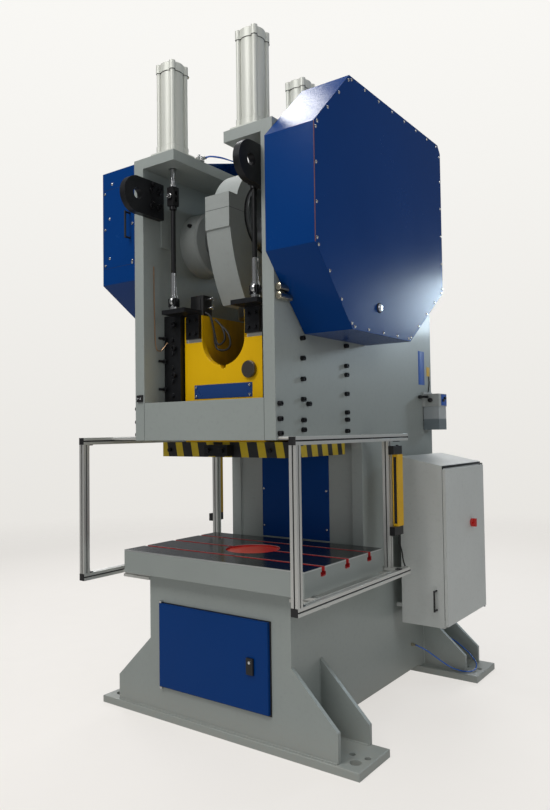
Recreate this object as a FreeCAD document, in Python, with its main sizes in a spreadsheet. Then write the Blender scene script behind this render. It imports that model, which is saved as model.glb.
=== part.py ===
import FreeCAD, Part
import math
import os
import Sketcher

# Mechanical stamping press: a welded C-frame eccentric press with a fixed table.
# Millimetres.  X runs to the machine's right, Y to its back and Z up.  X = 0 is the middle
# plane, Y = 0 the front face of the lower front plate and Z = 0 the floor.
# Every moving piece stands at top dead centre.

os.makedirs("parts", exist_ok=True)

SIZES = {
    # frame
    "frame_half": 500, "side_plate": 72, "frame_back": 1812, "throat_edge": 773,
    "head_overhang": 106, "head_bottom": 1601, "head_top": 3240, "belly": 58,
    "shoulder_height": 2760, "roof_end": 1250, "web_plate": 25,
    # feet
    "foot_half": 893, "foot_plate": 41, "front_foot_lip": 19, "front_foot_back": 295,
    "rear_foot_front": 1540, "rear_foot_back": 1875, "gusset_half": 768,
    "gusset_low": 186, "gusset_high": 446, "anchor_hole": 17, "jack_hole": 30,
    "front_web_low": 143, "front_web_high": 431, "rear_web_low": 142, "rear_web_high": 400,
    # lifting lugs
    "lug_plate": 40, "lug_z": 3005, "lug_radius": 105, "lug_nose": 180, "lug_tail": 23,
    "lug_eye": 33,
    # table
    "table_bottom": 826, "table_top": 958, "table_half": 636, "table_front": 75,
    "table_back": 751, "drop_radius": 160, "drop_step": 24, "table_middle": 345, "tee_pitch": 245,
    "tee_neck": 28, "tee_foot": 48, "tee_depth": 46, "tee_foot_height": 20,
    # door of the lower cupboard
    "door_left": 408, "door_right": 369, "door_low": 190, "door_high": 662,
    "door_thick": 20, "door_gap": 3,
    # crank drive
    "crank_y": 400, "crank_z": 2820, "throw": 80, "journal": 110, "eccentric": 190,
    "strap_outer": 290, "rod_half": 87.5, "running_gap": 0.05, "bearing_outer": 160,
    "boss_outer": 200, "boss_inner_end": 300, "cap_lug": 85, "rod_drop": 520,
    "screw_radius": 60, "motor_y": 1420, "motor_z": 2350,
    # gears
    "module": 14, "bull_teeth": 75, "pinion_teeth": 15, "pinion_drop": 70,
    # slide and guides
    "slide_half": 290, "slide_front": 90, "slide_back": 750, "slide_bottom": 1588,
    "slide_top": 2320, "slide_wall": 35, "pocket_half": 155, "wing": 60,
    "bed_half": 460, "bed_front": 75, "bed_back": 640, "bed_bottom": 1504,
    "pocket_floor": 70, "window_low": 2020, "seat_low": 2165, "wing_front": 190, "wing_back": 590,
    "shank_bore": 32.5, "bracket_top": 2350, "bracket_low": 2185, "bracket_plate": 25,
    # counterbalance cylinders
    "cylinder_x": 297, "cylinder_y": 7, "rear_cylinder_x": 188, "rear_cylinder_y": 633,
    "cylinder_top": 3789, "shelf_plate": 60, "shelf_inner": 183, "shelf_end": 540,
    # covers
    "cover_inner": 504, "gear_cover_outer": 795, "wheel_cover_outer": 782, "sheet": 3,
    "wheel_cover_front": 100,
    # guards
    "guard_x": 735, "guard_front": 307, "guard_back": 871, "guard_low": 804,
    "guard_high": 1621, "profile": 40, "groove": 8, "groove_depth": 11, "post_x": 655,
    "post_y": 790, "tie_y": 10, "tie_z": 802, "curtain_front": 815, "curtain_back": 885,
    "curtain_low": 1080, "curtain_high": 1500,
    # control cabinet
    "cabinet_inner": 571, "cabinet_outer": 850, "cabinet_front": 1130, "cabinet_back": 1800,
    "cabinet_low": 437, "cabinet_high": 1420, "cabinet_rise": 56, "switch_y": 1553,
    "switch_z": 1033,
    # oil pump
    "pump_front": 1660, "pump_back": 1795, "pump_low": 1802, "pump_high": 1890,
    "pump_rod_z": 1868, "tank_low": 1640,
}

DOC = FreeCAD.newDocument("stamping_press")
SHEET = DOC.addObject("Spreadsheet::Sheet", "dims")


class Size:
    """A length that carries both its number and the sheet expression that gives it."""

    def __init__(self, number, text):
        self.number = float(number)
        self.text = text

    def __add__(self, other):
        other = as_size(other)
        return Size(self.number + other.number, f"({self.text} + {other.text})")

    def __sub__(self, other):
        other = as_size(other)
        return Size(self.number - other.number, f"({self.text} - {other.text})")

    def __mul__(self, other):
        other = as_size(other)
        return Size(self.number * other.number, f"({self.text} * {other.text})")

    def __truediv__(self, other):
        other = as_size(other)
        return Size(self.number / other.number, f"({self.text} / {other.text})")

    def __neg__(self):
        return Size(-self.number, f"(0 - {self.text})")

    def __radd__(self, other):
        return as_size(other) + self

    def __rsub__(self, other):
        return as_size(other) - self

    def __rmul__(self, other):
        return as_size(other) * self


def as_size(value):
    """Turns a plain number into a Size and leaves a Size alone."""
    if isinstance(value, Size):
        return value
    return Size(value, f"({float(value):.6f})")


def number(value):
    """The plain number of a Size or of a number."""
    return as_size(value).number


def fill_sheet():
    """Writes every driving dimension to the sheet and hands back the bound sizes."""
    bound = {}
    for row, (name, amount) in enumerate(SIZES.items(), start=1):
        SHEET.set(f"A{row}", name)
        SHEET.set(f"B{row}", str(amount))
        SHEET.setAlias(f"B{row}", name)
        bound[name] = Size(amount, f"dims.{name}")
    DOC.recompute()
    return bound


class Dims:
    """The bound sizes, one attribute for each cell of the sheet."""

    def __init__(self, bound):
        self.__dict__.update(bound)


D = Dims(fill_sheet())
KEPT = []


def keep(thing, label):
    """Marks an object as the finished sub-part of that name."""
    thing.Label = label
    KEPT.append(thing)
    return thing


def bind(thing, path, value):
    """Binds one property of an object to its sheet expression."""
    thing.setExpression(path, as_size(value).text)


def place(thing, x, y, z):
    """Binds the position of an object."""
    for path, value in (("x", x), ("y", y), ("z", z)):
        bind(thing, f"Placement.Base.{path}", value)
    return thing


# ---- primitives -------------------------------------------------------------------------

def block(name, x, y, z):
    """A box between three pairs of limits."""
    box = DOC.addObject("Part::Box", name)
    for path, (low, high) in (("Length", x), ("Width", y), ("Height", z)):
        bind(box, path, as_size(high) - low)
    return place(box, x[0], y[0], z[0])


TURNS = {
    "X": FreeCAD.Rotation(FreeCAD.Vector(0, 1, 0), 90),
    "Y": FreeCAD.Rotation(FreeCAD.Vector(1, 0, 0), -90),
    "Z": FreeCAD.Rotation(),
}


def rod(name, axis, centre, start, end, radius):
    """A cylinder along X, Y or Z.  centre gives the other two coordinates in X, Y, Z order."""
    bar = DOC.addObject("Part::Cylinder", name)
    bar.Placement = FreeCAD.Placement(FreeCAD.Vector(), TURNS[axis])
    bind(bar, "Radius", radius)
    bind(bar, "Height", as_size(end) - start)
    spots = {"X": (start, *centre), "Y": (centre[0], start, centre[1]), "Z": (*centre, start)}
    return place(bar, *spots[axis])


def fused(name, things):
    """One solid made of several that meet or overlap."""
    if len(things) == 1:
        return things[0]
    whole = DOC.addObject("Part::MultiFuse", name)
    whole.Shapes = things
    whole.Refine = True
    return whole


def cut(name, base, tools):
    """The base with every tool taken away."""
    if len(tools) > 1:
        tool = DOC.addObject("Part::Compound", f"{name}_tools")
        tool.Links = tools
    else:
        tool = tools[0]
    result = DOC.addObject("Part::Cut", name)
    result.Base = base
    result.Tool = tool
    return result


def grouped(name, things):
    """Several separate solids that share one sub-part."""
    group = DOC.addObject("Part::Compound", name)
    group.Links = things
    return group


# ---- sketched bodies --------------------------------------------------------------------

def sketch_on(body, plane, level):
    """A sketch parallel to one of the body's own planes, at that level along its normal."""
    sketch = body.newObject("Sketcher::SketchObject", f"{body.Name}_outline")
    features = body.Origin.OriginFeatures
    support = next(item for item in features if item.Role == f"{plane}_Plane")
    sketch.AttachmentSupport = [(support, "")]
    sketch.MapMode = "FlatFace"
    bind(sketch, "AttachmentOffset.Base.z", -as_size(level) if plane == "XZ" else level)
    return sketch


def pin_point(sketch, item, end, x, y):
    """Holds one point of the sketch at bound distances from the origin."""
    for kind, axis, value in (("DistanceX", -2, x), ("DistanceY", -1, y)):
        if number(value) == 0:
            sketch.addConstraint(Sketcher.Constraint("PointOnObject", item, end, axis))
            continue
        index = sketch.addConstraint(Sketcher.Constraint(kind, -1, 1, item, end, number(value)))
        bind(sketch, f"Constraints[{index}]", value)


def draw_polygon(sketch, points):
    """A closed outline of straight lines through bound points."""
    first = sketch.GeometryCount
    corners = [FreeCAD.Vector(number(x), number(y), 0) for x, y in points]
    for start, end in zip(corners, corners[1:] + corners[:1]):
        sketch.addGeometry(Part.LineSegment(start, end), False)
    for step in range(len(points)):
        follower = first + (step + 1) % len(points)
        sketch.addConstraint(Sketcher.Constraint("Coincident", first + step, 2, follower, 1))
    for step, (x, y) in enumerate(points):
        pin_point(sketch, first + step, 1, x, y)


def draw_circle(sketch, x, y, radius):
    """A circle with a bound centre and radius."""
    centre = FreeCAD.Vector(number(x), number(y), 0)
    circle = Part.Circle(centre, FreeCAD.Vector(0, 0, 1), number(radius))
    item = sketch.addGeometry(circle, False)
    pin_point(sketch, item, 3, x, y)
    index = sketch.addConstraint(Sketcher.Constraint("Radius", item, number(radius)))
    bind(sketch, f"Constraints[{index}]", radius)


def rectangle(x, y):
    """The four corners of a rectangle between two pairs of limits."""
    return [(x[0], y[0]), (x[1], y[0]), (x[1], y[1]), (x[0], y[1])]


def plate(name, plane, points, start, end, circles=(), windows=()):
    """A flat plate of that outline, padded between two levels, with holes right through."""
    body = DOC.addObject("PartDesign::Body", name)
    sketch = sketch_on(body, plane, start)
    draw_polygon(sketch, points)
    for circle in circles:
        draw_circle(sketch, *circle)
    for window in windows:
        draw_polygon(sketch, window)
    pad = body.newObject("PartDesign::Pad", f"{name}_pad")
    pad.Profile = sketch
    pad.Reversed = plane == "XZ"
    bind(pad, "Length", as_size(end) - start)
    body.Tip = pad
    return body


def turned(name, axis, centre, profile):
    """A turned piece.  profile holds (along the axis, radius) and centre is on the axis."""
    body = DOC.addObject("PartDesign::Body", name)
    sketch = sketch_on(body, "YZ" if axis == "Y" else "XZ", 0)
    upright = axis == "Z"
    draw_polygon(sketch, [(radius, along) if upright else (along, radius) for along, radius in profile])
    revolution = body.newObject("PartDesign::Revolution", f"{name}_turn")
    revolution.Profile = sketch
    revolution.ReferenceAxis = (sketch, ["V_Axis" if upright else "H_Axis"])
    revolution.Angle = 360
    body.Tip = revolution
    return place(body, *centre)


def rounded(body, radius, chosen):
    """Fillets the edges of a body whose two end points both pass the test."""
    DOC.recompute()
    base = body.Tip
    edges = []
    for index, edge in enumerate(base.Shape.Edges, start=1):
        if all(chosen(vertex.Point) for vertex in edge.Vertexes):
            edges.append(f"Edge{index}")
    fillet = body.newObject("PartDesign::Fillet", f"{body.Name}_fillet")
    fillet.Base = (base, edges)
    bind(fillet, "Radius", radius)
    body.Tip = fillet
    return body


def near(value, target):
    """True where a coordinate lies at a bound size, within a millimetre."""
    return abs(value - number(target)) < 1.0


def corners_at(**targets):
    """A test for points whose named coordinates lie at these sizes, on either side of zero."""
    def test(point):
        return all(near(abs(getattr(point, axis)), size) for axis, size in targets.items())
    return test


# ---- welded frame -----------------------------------------------------------------------

INNER = D.frame_half - D.side_plate
WALL_FACE = D.throat_edge + 17


def side_plate(label, start, end):
    """One C-shaped side plate, with the bearing hole and the holes for the drive shafts."""
    pinion_y, pinion_z = pinion_centre()
    outline = [
        (D.web_plate, D.foot_plate), (D.front_foot_back, D.foot_plate),
        (D.front_foot_back + 30, D.belly), (D.rear_foot_front - 30, D.belly),
        (D.rear_foot_front, D.foot_plate), (D.frame_back, D.foot_plate),
        (D.frame_back, D.shoulder_height), (D.roof_end, D.head_top),
        (-D.head_overhang, D.head_top), (-D.head_overhang, D.head_bottom),
        (D.throat_edge, D.head_bottom), (D.throat_edge, D.table_bottom),
        (D.web_plate, D.table_bottom),
    ]
    holes = [(D.crank_y, D.crank_z, D.bearing_outer), (pinion_y, pinion_z, 70)]
    if number(start) < 0:
        holes.append((*motor_centre(), 60))
    body = plate(label, "YZ", outline, start, end, circles=holes)
    return keep(rounded(body, 70, corners_at(y=D.throat_edge, z=D.head_bottom)), label)


def front_plate():
    """The lower front plate with its spread shoulders and the cupboard opening."""
    outline = [
        (-D.gusset_half, D.foot_plate), (D.gusset_half, D.foot_plate),
        (D.gusset_half, D.gusset_low), (D.frame_half, D.gusset_high),
        (D.frame_half, D.table_bottom), (-D.frame_half, D.table_bottom),
        (-D.frame_half, D.gusset_high), (-D.gusset_half, D.gusset_low),
    ]
    opening = rectangle((-D.door_left + 28, D.door_right - 28), (D.door_low + 28, D.door_high - 28))
    body = plate("front_plate", "XZ", outline, 0, D.web_plate, windows=[opening])
    keep(body, "front_plate")


def foot(label, front, back, hole_rows):
    """A floor plate with anchor holes and a jacking hole near each end."""
    holes = []
    for side in (-1, 1):
        for across, along, radius in hole_rows:
            holes.append((side * across, front + along, radius))
    outline = rectangle((-D.foot_half, D.foot_half), (front, back))
    body = plate(label, "XY", outline, 0, D.foot_plate, circles=holes)
    keep(rounded(body, 6, corners_at(x=D.foot_half, z=D.foot_plate)), label)


def gusset(name, side, level, low, high):
    """A welded foot gusset: upright outer edge, then a slope up to the side plate."""
    reach = D.foot_half - 100
    outline = [
        (side * D.frame_half, D.foot_plate), (side * reach, D.foot_plate),
        (side * reach, low), (side * D.frame_half, high),
    ]
    return plate(name, "XZ", outline, level, level + D.web_plate)


def foot_gussets():
    """Gussets behind the front plate and on both edges of the rear foot."""
    levels = (
        (D.front_foot_back - 26, D.front_web_low, D.front_web_high),
        (D.rear_foot_front + 60, D.rear_web_low, D.rear_web_high),
        (D.rear_foot_back - 40, D.rear_web_low, D.rear_web_high),
    )
    webs = []
    for side in (-1, 1):
        for step, (level, low, high) in enumerate(levels):
            webs.append(gusset(f"gusset_{step}_{side + 1}", side, level, low, high))
    keep(grouped("foot_gussets", webs), "foot_gussets")


def throat_wall():
    """The heavy wall that closes the throat and carries on up behind the slide."""
    outline = rectangle((-INNER, INNER), (D.foot_plate + 200, D.head_bottom + 700))
    window = rectangle((-210, 210), (D.table_top + 60, D.head_bottom - 80))
    keep(plate("throat_wall", "XZ", outline, WALL_FACE, WALL_FACE + 40, windows=[window]), "throat_wall")


def head_cross_plate():
    """The plate across the bottom of the head's open front."""
    outline = rectangle((-INNER, INNER), (D.head_bottom, D.head_bottom + 215))
    body = plate("head_cross_plate", "XZ", outline, -D.head_overhang, -D.head_overhang + 60)
    keep(body, "head_cross_plate")


def top_plate():
    """The U-shaped top plate: two shelves for the front cylinders and the bridge behind them."""
    outline = [
        (-INNER, -D.head_overhang), (-D.shelf_inner, -D.head_overhang), (-D.shelf_inner, D.shelf_end),
        (D.shelf_inner, D.shelf_end), (D.shelf_inner, -D.head_overhang), (INNER, -D.head_overhang),
        (INNER, D.roof_end), (-INNER, D.roof_end),
    ]
    bores = [(side * D.cylinder_x, D.cylinder_y, 24) for side in (-1, 1)]
    bores.append((D.rear_cylinder_x, D.rear_cylinder_y, 24))
    body = plate("top_plate", "XY", outline, D.head_top - D.shelf_plate, D.head_top, circles=bores)
    keep(body, "top_plate")


def back_plate():
    """The plate across the back of the frame, with the welded shelf that carries the motor."""
    outline = rectangle((-INNER, INNER), (D.foot_plate + 60, D.shoulder_height - 40))
    body = plate("back_sheet", "XZ", outline, D.frame_back - 20, D.frame_back)
    seat = motor_centre()[1] - 180
    shelf = block("motor_shelf", (-INNER, INNER), (motor_centre()[0] - 150, D.frame_back - 20),
                  (seat - 20, seat))
    keep(fused("back_plate", [body, shelf]), "back_plate")


def frame_bearings():
    """Two flanged bushes for the crankshaft, each a sleeve with an inner boss, and two shaft rings."""
    bushes = []
    for side in (-1, 1):
        outer = D.frame_half - 2
        profile = [
            (side * outer, D.journal + D.running_gap), (side * outer, D.bearing_outer),
            (side * INNER, D.bearing_outer), (side * INNER, D.boss_outer),
            (side * (D.boss_inner_end + 12), D.boss_outer), (side * D.boss_inner_end, D.boss_outer - 12),
            (side * D.boss_inner_end, D.journal + D.running_gap),
        ]
        bushes.append(turned(f"bearing_{side + 1}", "X", (0, D.crank_y, D.crank_z), profile))
    keep(grouped("frame_bearings", [*bushes, *shaft_bearings()]), "frame_bearings")


# ---- table ------------------------------------------------------------------------------

def table_plate():
    """The table: a thick plate with three T-slots along X and a stepped drop hole."""
    slab = block("table_slab", (-D.table_half, D.table_half), (-D.table_front, D.table_back),
                 (D.table_bottom, D.table_top))
    tools = []
    for step in range(3):
        middle = D.table_middle + (step - 1) * D.tee_pitch
        span = (-D.table_half - 5, D.table_half + 5)
        neck = (middle - D.tee_neck / 2, middle + D.tee_neck / 2)
        wide = (middle - D.tee_foot / 2, middle + D.tee_foot / 2)
        floor = D.table_top - D.tee_depth
        tools.append(block(f"tee_neck_{step}", span, neck, (floor + 5, D.table_top + 5)))
        tools.append(block(f"tee_foot_{step}", span, wide, (floor, floor + D.tee_foot_height)))
    centre = (0, D.table_middle)
    seat = D.table_top - D.drop_step
    tools.append(rod("drop_step", "Z", centre, seat, D.table_top + 5, D.drop_radius))
    tools.append(rod("drop_bore", "Z", centre, D.table_bottom - 5, D.table_top, D.drop_radius - 50))
    keep(cut("table_plate", slab, tools), "table_plate")
    lid = [
        (seat, 0), (seat, D.drop_radius - 1), (seat + 12, D.drop_radius - 1),
        (seat + 14, D.drop_radius - 3), (seat + 14, 0),
    ]
    keep(turned("drop_cover", "Z", (0, D.table_middle, 0), lid), "drop_cover")


def throat_panel():
    """The thin panel on the throat wall, with a button-headed screw near each corner."""
    low = D.table_top + 4
    high = D.head_bottom - 20
    outline = rectangle((-256, 256), (low, high))
    sheet = plate("throat_sheet", "XZ", outline, WALL_FACE - D.sheet, WALL_FACE)
    heads = []
    for x in (-246, 246):
        for z in (986, 1233, 1480):
            heads.append(rod(f"throat_screw_{x}_{z}", "Y", (x, z), WALL_FACE - 7, WALL_FACE - 3, 5))
    keep(fused("throat_panel", [sheet, *heads]), "throat_panel")


# ---- lifting lugs and fasteners of the frame --------------------------------------------

LUG_FACE = INNER - D.lug_plate


def lifting_lugs():
    """A thick plate with a rounded nose and a shackle hole, bolted inside each side plate."""
    lugs = []
    for side in (-1, 1):
        limits = sorted((side * number(LUG_FACE), side * number(INNER)))
        height = (D.lug_z - D.lug_radius, D.lug_z + D.lug_radius)
        tail = block(f"lug_tail_{side + 1}", limits, (-D.lug_nose, D.lug_tail), height)
        nose = rod(f"lug_nose_{side + 1}", "X", (-D.lug_nose, D.lug_z), *limits, D.lug_radius)
        spot = (-D.lug_nose - 5, D.lug_z + 5)
        eye = rod(f"lug_eye_{side + 1}", "X", spot, limits[0] - 5, limits[1] + 5, D.lug_eye)
        whole = fused(f"lug_blank_{side + 1}", [tail, nose])
        lugs.append(cut(f"lug_{side + 1}", whole, [eye]))
    keep(grouped("lifting_lugs", lugs), "lifting_lugs")


def cap_screw(name, axis, centre, seat, way, radius, height):
    """A socket head that stands out from a face, with a plain round recess."""
    end = seat + way * height
    low, high = sorted((number(seat), number(end)))
    head = rod(f"{name}_head", axis, centre, low, high, radius)
    mouth = sorted((number(end) - way * 0.5 * height, number(end) + way * 2))
    recess = rod(f"{name}_recess", axis, centre, mouth[0], mouth[1], radius * 0.5)
    return cut(name, head, [recess])


def frame_screws():
    """Socket screws of the lugs, and the guide-adjusting screws through both side plates."""
    screws = []
    columns = (
        (-79, (1785, 1708, 1635)), (134, (2134, 2028, 1918, 1811, 1702, 1651)),
        (186, (1788,)), (590, (2133, 2017, 1965, 1855, 1748, 1706, 1641)), (1034, (2214,)),
    )
    for side in (-1, 1):
        for y, z in ((-66, 3090), (-8, 3075), (-66, 2984), (-8, 2975)):
            screws.append(cap_screw(f"lug_screw_{side + 1}_{-y}_{z}", "X", (y, z),
                                    side * number(LUG_FACE), -side, 14, 12))
        for y, heights in columns:
            for z in heights:
                screws.append(cap_screw(f"guide_screw_{side + 1}_{y + 100}_{z}", "X", (y, z),
                                        side * number(D.frame_half), side, 13, 22))
    keep(grouped("frame_screws", screws), "frame_screws")


# ---- crank drive ------------------------------------------------------------------------

def pinion_centre():
    """Y and Z of the pinion shaft: one centre distance from the crank, a little lower."""
    reach = number(D.module) * (number(D.bull_teeth) + number(D.pinion_teeth)) / 2
    drop = number(D.pinion_drop)
    along = math.sqrt(reach ** 2 - drop ** 2)
    return number(D.crank_y) + along, number(D.crank_z) - drop


def motor_centre():
    """Y and Z of the motor shaft."""
    return number(D.motor_y), number(D.motor_z)


def crankshaft():
    """Main shaft with one eccentric between two collars; the eccentric stands at the top."""
    middle = (D.crank_y, D.crank_z)
    offset = (D.crank_y, D.crank_z + D.throw)
    steps = [
        rod("crank_shaft", "X", middle, -D.frame_half + 12, D.gear_cover_outer - 105, D.journal),
        rod("crank_eccentric", "X", offset, -D.rod_half - 1, D.rod_half + 1, D.eccentric),
    ]
    for side, start in (("left", -D.rod_half - 21), ("right", D.rod_half + 1)):
        steps.append(rod(f"crank_collar_{side}", "X", offset, start, start + 20, D.eccentric + 14))
    keep(fused("crankshaft", steps), "crankshaft")


def involute(base, radius):
    """The angle that an involute has turned through by the time it reaches that radius."""
    pressure = math.acos(min(1.0, base / radius))
    return math.tan(pressure) - pressure


def gear_outline(teeth, module, centre, phase, level):
    """A closed wire of stub involute teeth in the plane X = level."""
    pitch = module * teeth / 2
    base = pitch * math.cos(math.radians(20))
    tip = pitch + 0.8 * module
    root = pitch - 1.0 * module
    half = math.pi / (2 * teeth) - 0.02 * module / pitch + involute(base, pitch)
    start = max(base, root + 0.1)
    flank = [start + (tip - start) * step / 3 for step in range(4)]
    points = []
    for tooth in range(teeth):
        middle = phase + 2 * math.pi * tooth / teeth
        sides = [(root, -half)]
        sides += [(radius, -half + involute(base, radius)) for radius in flank]
        sides += [(radius, half - involute(base, radius)) for radius in reversed(flank)]
        sides += [(root, half)]
        for radius, turn in sides:
            y = centre[0] + radius * math.cos(middle + turn)
            z = centre[1] + radius * math.sin(middle + turn)
            points.append(FreeCAD.Vector(level, y, z))
    return Part.makePolygon(points + points[:1])


def gear_blank(teeth, centre, phase, start, width):
    """The toothed disc between two levels along X."""
    face = Part.Face(gear_outline(teeth, number(D.module), centre, phase, start))
    return face.extrude(FreeCAD.Vector(width, 0, 0))


def along_x(radius, centre, start, width):
    """A plain cylinder along X as a bare shape."""
    spot = FreeCAD.Vector(start, centre[0], centre[1])
    return Part.makeCylinder(radius, width, spot, FreeCAD.Vector(1, 0, 0))


def bull_gear():
    """The big gear on the crankshaft: rim, thin web with six round windows, and a hub."""
    teeth = int(number(D.bull_teeth))
    centre = (number(D.crank_y), number(D.crank_z))
    start = 545
    to_pinion = math.atan2(pinion_centre()[1] - centre[1], pinion_centre()[0] - centre[0])
    wheel = gear_blank(teeth, centre, to_pinion, start, 120)
    pitch = number(D.module) * teeth / 2
    for side in (start - 1, start + 80):
        ring = along_x(pitch - 60, centre, side, 41)
        wheel = wheel.cut(ring.cut(along_x(190, centre, side, 41)))
    for step in range(6):
        turn = math.pi * step / 3
        spot = (centre[0] + 320 * math.cos(turn), centre[1] + 320 * math.sin(turn))
        wheel = wheel.cut(along_x(80, spot, start, 120))
    wheel = wheel.cut(along_x(number(D.journal), centre, start - 1, 130))
    gear = DOC.addObject("Part::Feature", "bull_gear")
    gear.Shape = wheel
    keep(gear, "bull_gear")


def pinion_shaft():
    """The fast shaft across the frame with its pinion in mesh with the big gear."""
    teeth = int(number(D.pinion_teeth))
    centre = pinion_centre()
    middle = (number(D.crank_y), number(D.crank_z))
    to_bull = math.atan2(middle[1] - centre[1], middle[0] - centre[0])
    pinion = gear_blank(teeth, centre, to_bull + math.pi / teeth, 540, 130)
    shaft = pinion.fuse(along_x(55, centre, -712, 1412))
    gear = DOC.addObject("Part::Feature", "pinion_shaft")
    gear.Shape = shaft
    keep(gear, "pinion_shaft")


def shaft_bearings():
    """Bearing rings that centre the fast shaft in both side plates."""
    rings = []
    for side in (-1, 1):
        low, high = sorted((side * number(INNER), side * number(D.frame_half)))
        centre = pinion_centre()
        outer = rod(f"shaft_ring_{side + 1}", "X", centre, low, high, 70)
        bore = rod(f"shaft_bore_{side + 1}", "X", centre, low - 5, high + 5, 55 + D.running_gap)
        rings.append(cut(f"shaft_bearing_{side + 1}", outer, [bore]))
    return rings


def flywheel():
    """Grooved rim, web and hub on the left end of the fast shaft."""
    profile = [(-700, 55), (-700, 120), (-640, 120), (-640, 350), (-700, 350), (-700, 420)]
    for groove in range(4):
        edge = -694 + 34 * groove
        profile += [(edge, 420), (edge + 6, 404), (edge + 20, 404), (edge + 26, 420)]
    profile += [(-530, 420), (-530, 350), (-600, 350), (-600, 120), (-530, 120), (-530, 55)]
    body = turned("flywheel", "X", (0, *pinion_centre()), profile)
    keep(body, "flywheel")


def motor():
    """A ribbed foot motor between the side plates; its shaft passes the left plate."""
    centre = motor_centre()
    steps = [rod("motor_core", "X", centre, -340, 60, 132)]
    middle = FreeCAD.Vector(-320, *centre)
    for rib in range(18):
        fin = DOC.addObject("Part::Box", f"motor_rib_{rib}")
        fin.Length = 320
        fin.Width = 6
        fin.Height = 46
        radial = FreeCAD.Rotation(FreeCAD.Vector(1, 0, 0), 20 * rib)
        corner = radial.multVec(FreeCAD.Vector(0, -3, 100))
        fin.Placement = FreeCAD.Placement(middle + corner, radial)
        steps.append(fin)
    steps.append(rod("motor_fan_cowl", "X", centre, 60, 130, 138))
    steps.append(block("motor_foot", (-300, 20), (centre[0] - 120, centre[0] + 120),
                       (centre[1] - 180, centre[1] - 120)))
    keep(fused("motor", steps), "motor")


def motor_pulley():
    """The motor's shaft and its grooved pulley."""
    profile = [(-700, 0), (-700, 90)]
    for groove in range(4):
        edge = -694 + 34 * groove
        profile += [(edge, 90), (edge + 6, 74), (edge + 20, 74), (edge + 26, 90)]
    profile += [(-550, 90), (-550, 24), (-341, 24), (-341, 0)]
    keep(turned("motor_pulley", "X", (0, *motor_centre()), profile), "motor_pulley")


def belt_loop(level, wheel, pulley, thickness):
    """One flat belt loop round two wheels: outer and inner tangent outlines, padded 20 along X."""
    faces = []
    for grow in (thickness, 0):
        big = (pinion_centre(), wheel + grow)
        small = (motor_centre(), pulley + grow)
        gap = (small[0][0] - big[0][0], small[0][1] - big[0][1])
        reach = math.hypot(*gap)
        heading = math.atan2(gap[1], gap[0])
        lean = math.acos((big[1] - small[1]) / reach)
        ends = []
        for (centre, radius), turns in ((big, (lean, math.pi, -lean)), (small, (-lean, 0, lean))):
            for turn in turns:
                angle = heading + turn
                ends.append(FreeCAD.Vector(level, centre[0] + radius * math.cos(angle),
                                           centre[1] + radius * math.sin(angle)))
        edges = [Part.Arc(*ends[:3]).toShape(), Part.makeLine(ends[2], ends[3]),
                 Part.Arc(*ends[3:]).toShape(), Part.makeLine(ends[5], ends[0])]
        faces.append(Part.Face(Part.Wire(edges)).extrude(FreeCAD.Vector(8, 0, 0)))
    return faces[0].cut(faces[1])


def drive_belts():
    """Four belts from the motor pulley to the flywheel, each in its own groove."""
    loops = [belt_loop(-685 + 34 * groove, 405, 75, 12) for groove in range(4)]
    belts = DOC.addObject("Part::Feature", "drive_belts")
    belts.Shape = Part.Compound(loops)
    keep(belts, "drive_belts")


# ---- connecting rod ---------------------------------------------------------------------

def big_end():
    """Y and Z of the eccentric's centre."""
    return D.crank_y, D.crank_z + D.throw


def rod_half_blank(name, upper):
    """Half of the strap ring with its bolting lugs, on one side of the split."""
    y, z = big_end()
    ring = rod(f"{name}_ring", "X", (y, z), -D.rod_half, D.rod_half, D.strap_outer)
    span = (-D.rod_half, D.rod_half)
    height = (z, z + D.cap_lug) if upper else (z - 110, z)
    lugs = [block(f"{name}_lug_{side}", span, limits, height)
            for side, limits in (("front", (y - 350, y - 200)), ("back", (y + 200, y + 350)))]
    whole = fused(f"{name}_blank", [ring, *lugs])
    away = (z - 400, z) if upper else (z, z + 400)
    other = block(f"{name}_other_half", (-D.rod_half - 5, D.rod_half + 5), (y - 400, y + 400), away)
    bore = rod(f"{name}_bore", "X", (y, z), -D.rod_half - 5, D.rod_half + 5,
               D.eccentric + D.running_gap)
    return whole, [other, bore]


def conrod():
    """The rod: lower half of the strap, a body that narrows in two curves, and the cap."""
    y, z = big_end()
    cap, tools = rod_half_blank("cap", True)
    seat = z + D.cap_lug - 22
    spots = [(x, y + side * 315) for side in (-1, 1) for x in (-45, 45)]
    bolts = []
    for step, spot in enumerate(spots):
        tools.append(rod(f"cap_recess_{step}", "Z", spot, seat, seat + 30, 21))
        bolts.append(rod(f"cap_bolt_{step}", "Z", spot, seat, seat + 19, 17))
    keep(cut("conrod_cap", cap, tools), "conrod_cap")
    keep(grouped("conrod_bolts", bolts), "conrod_bolts")
    ring, tools = rod_half_blank("rod", False)
    whole = fused("rod_with_shank", [ring, rod_shank()])
    low = z - D.rod_drop
    tools.append(rod("rod_thread", "Z", (0, y), low - 5, low + 160, D.screw_radius))
    keep(cut("conrod_body", whole, tools), "conrod_body")


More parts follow.
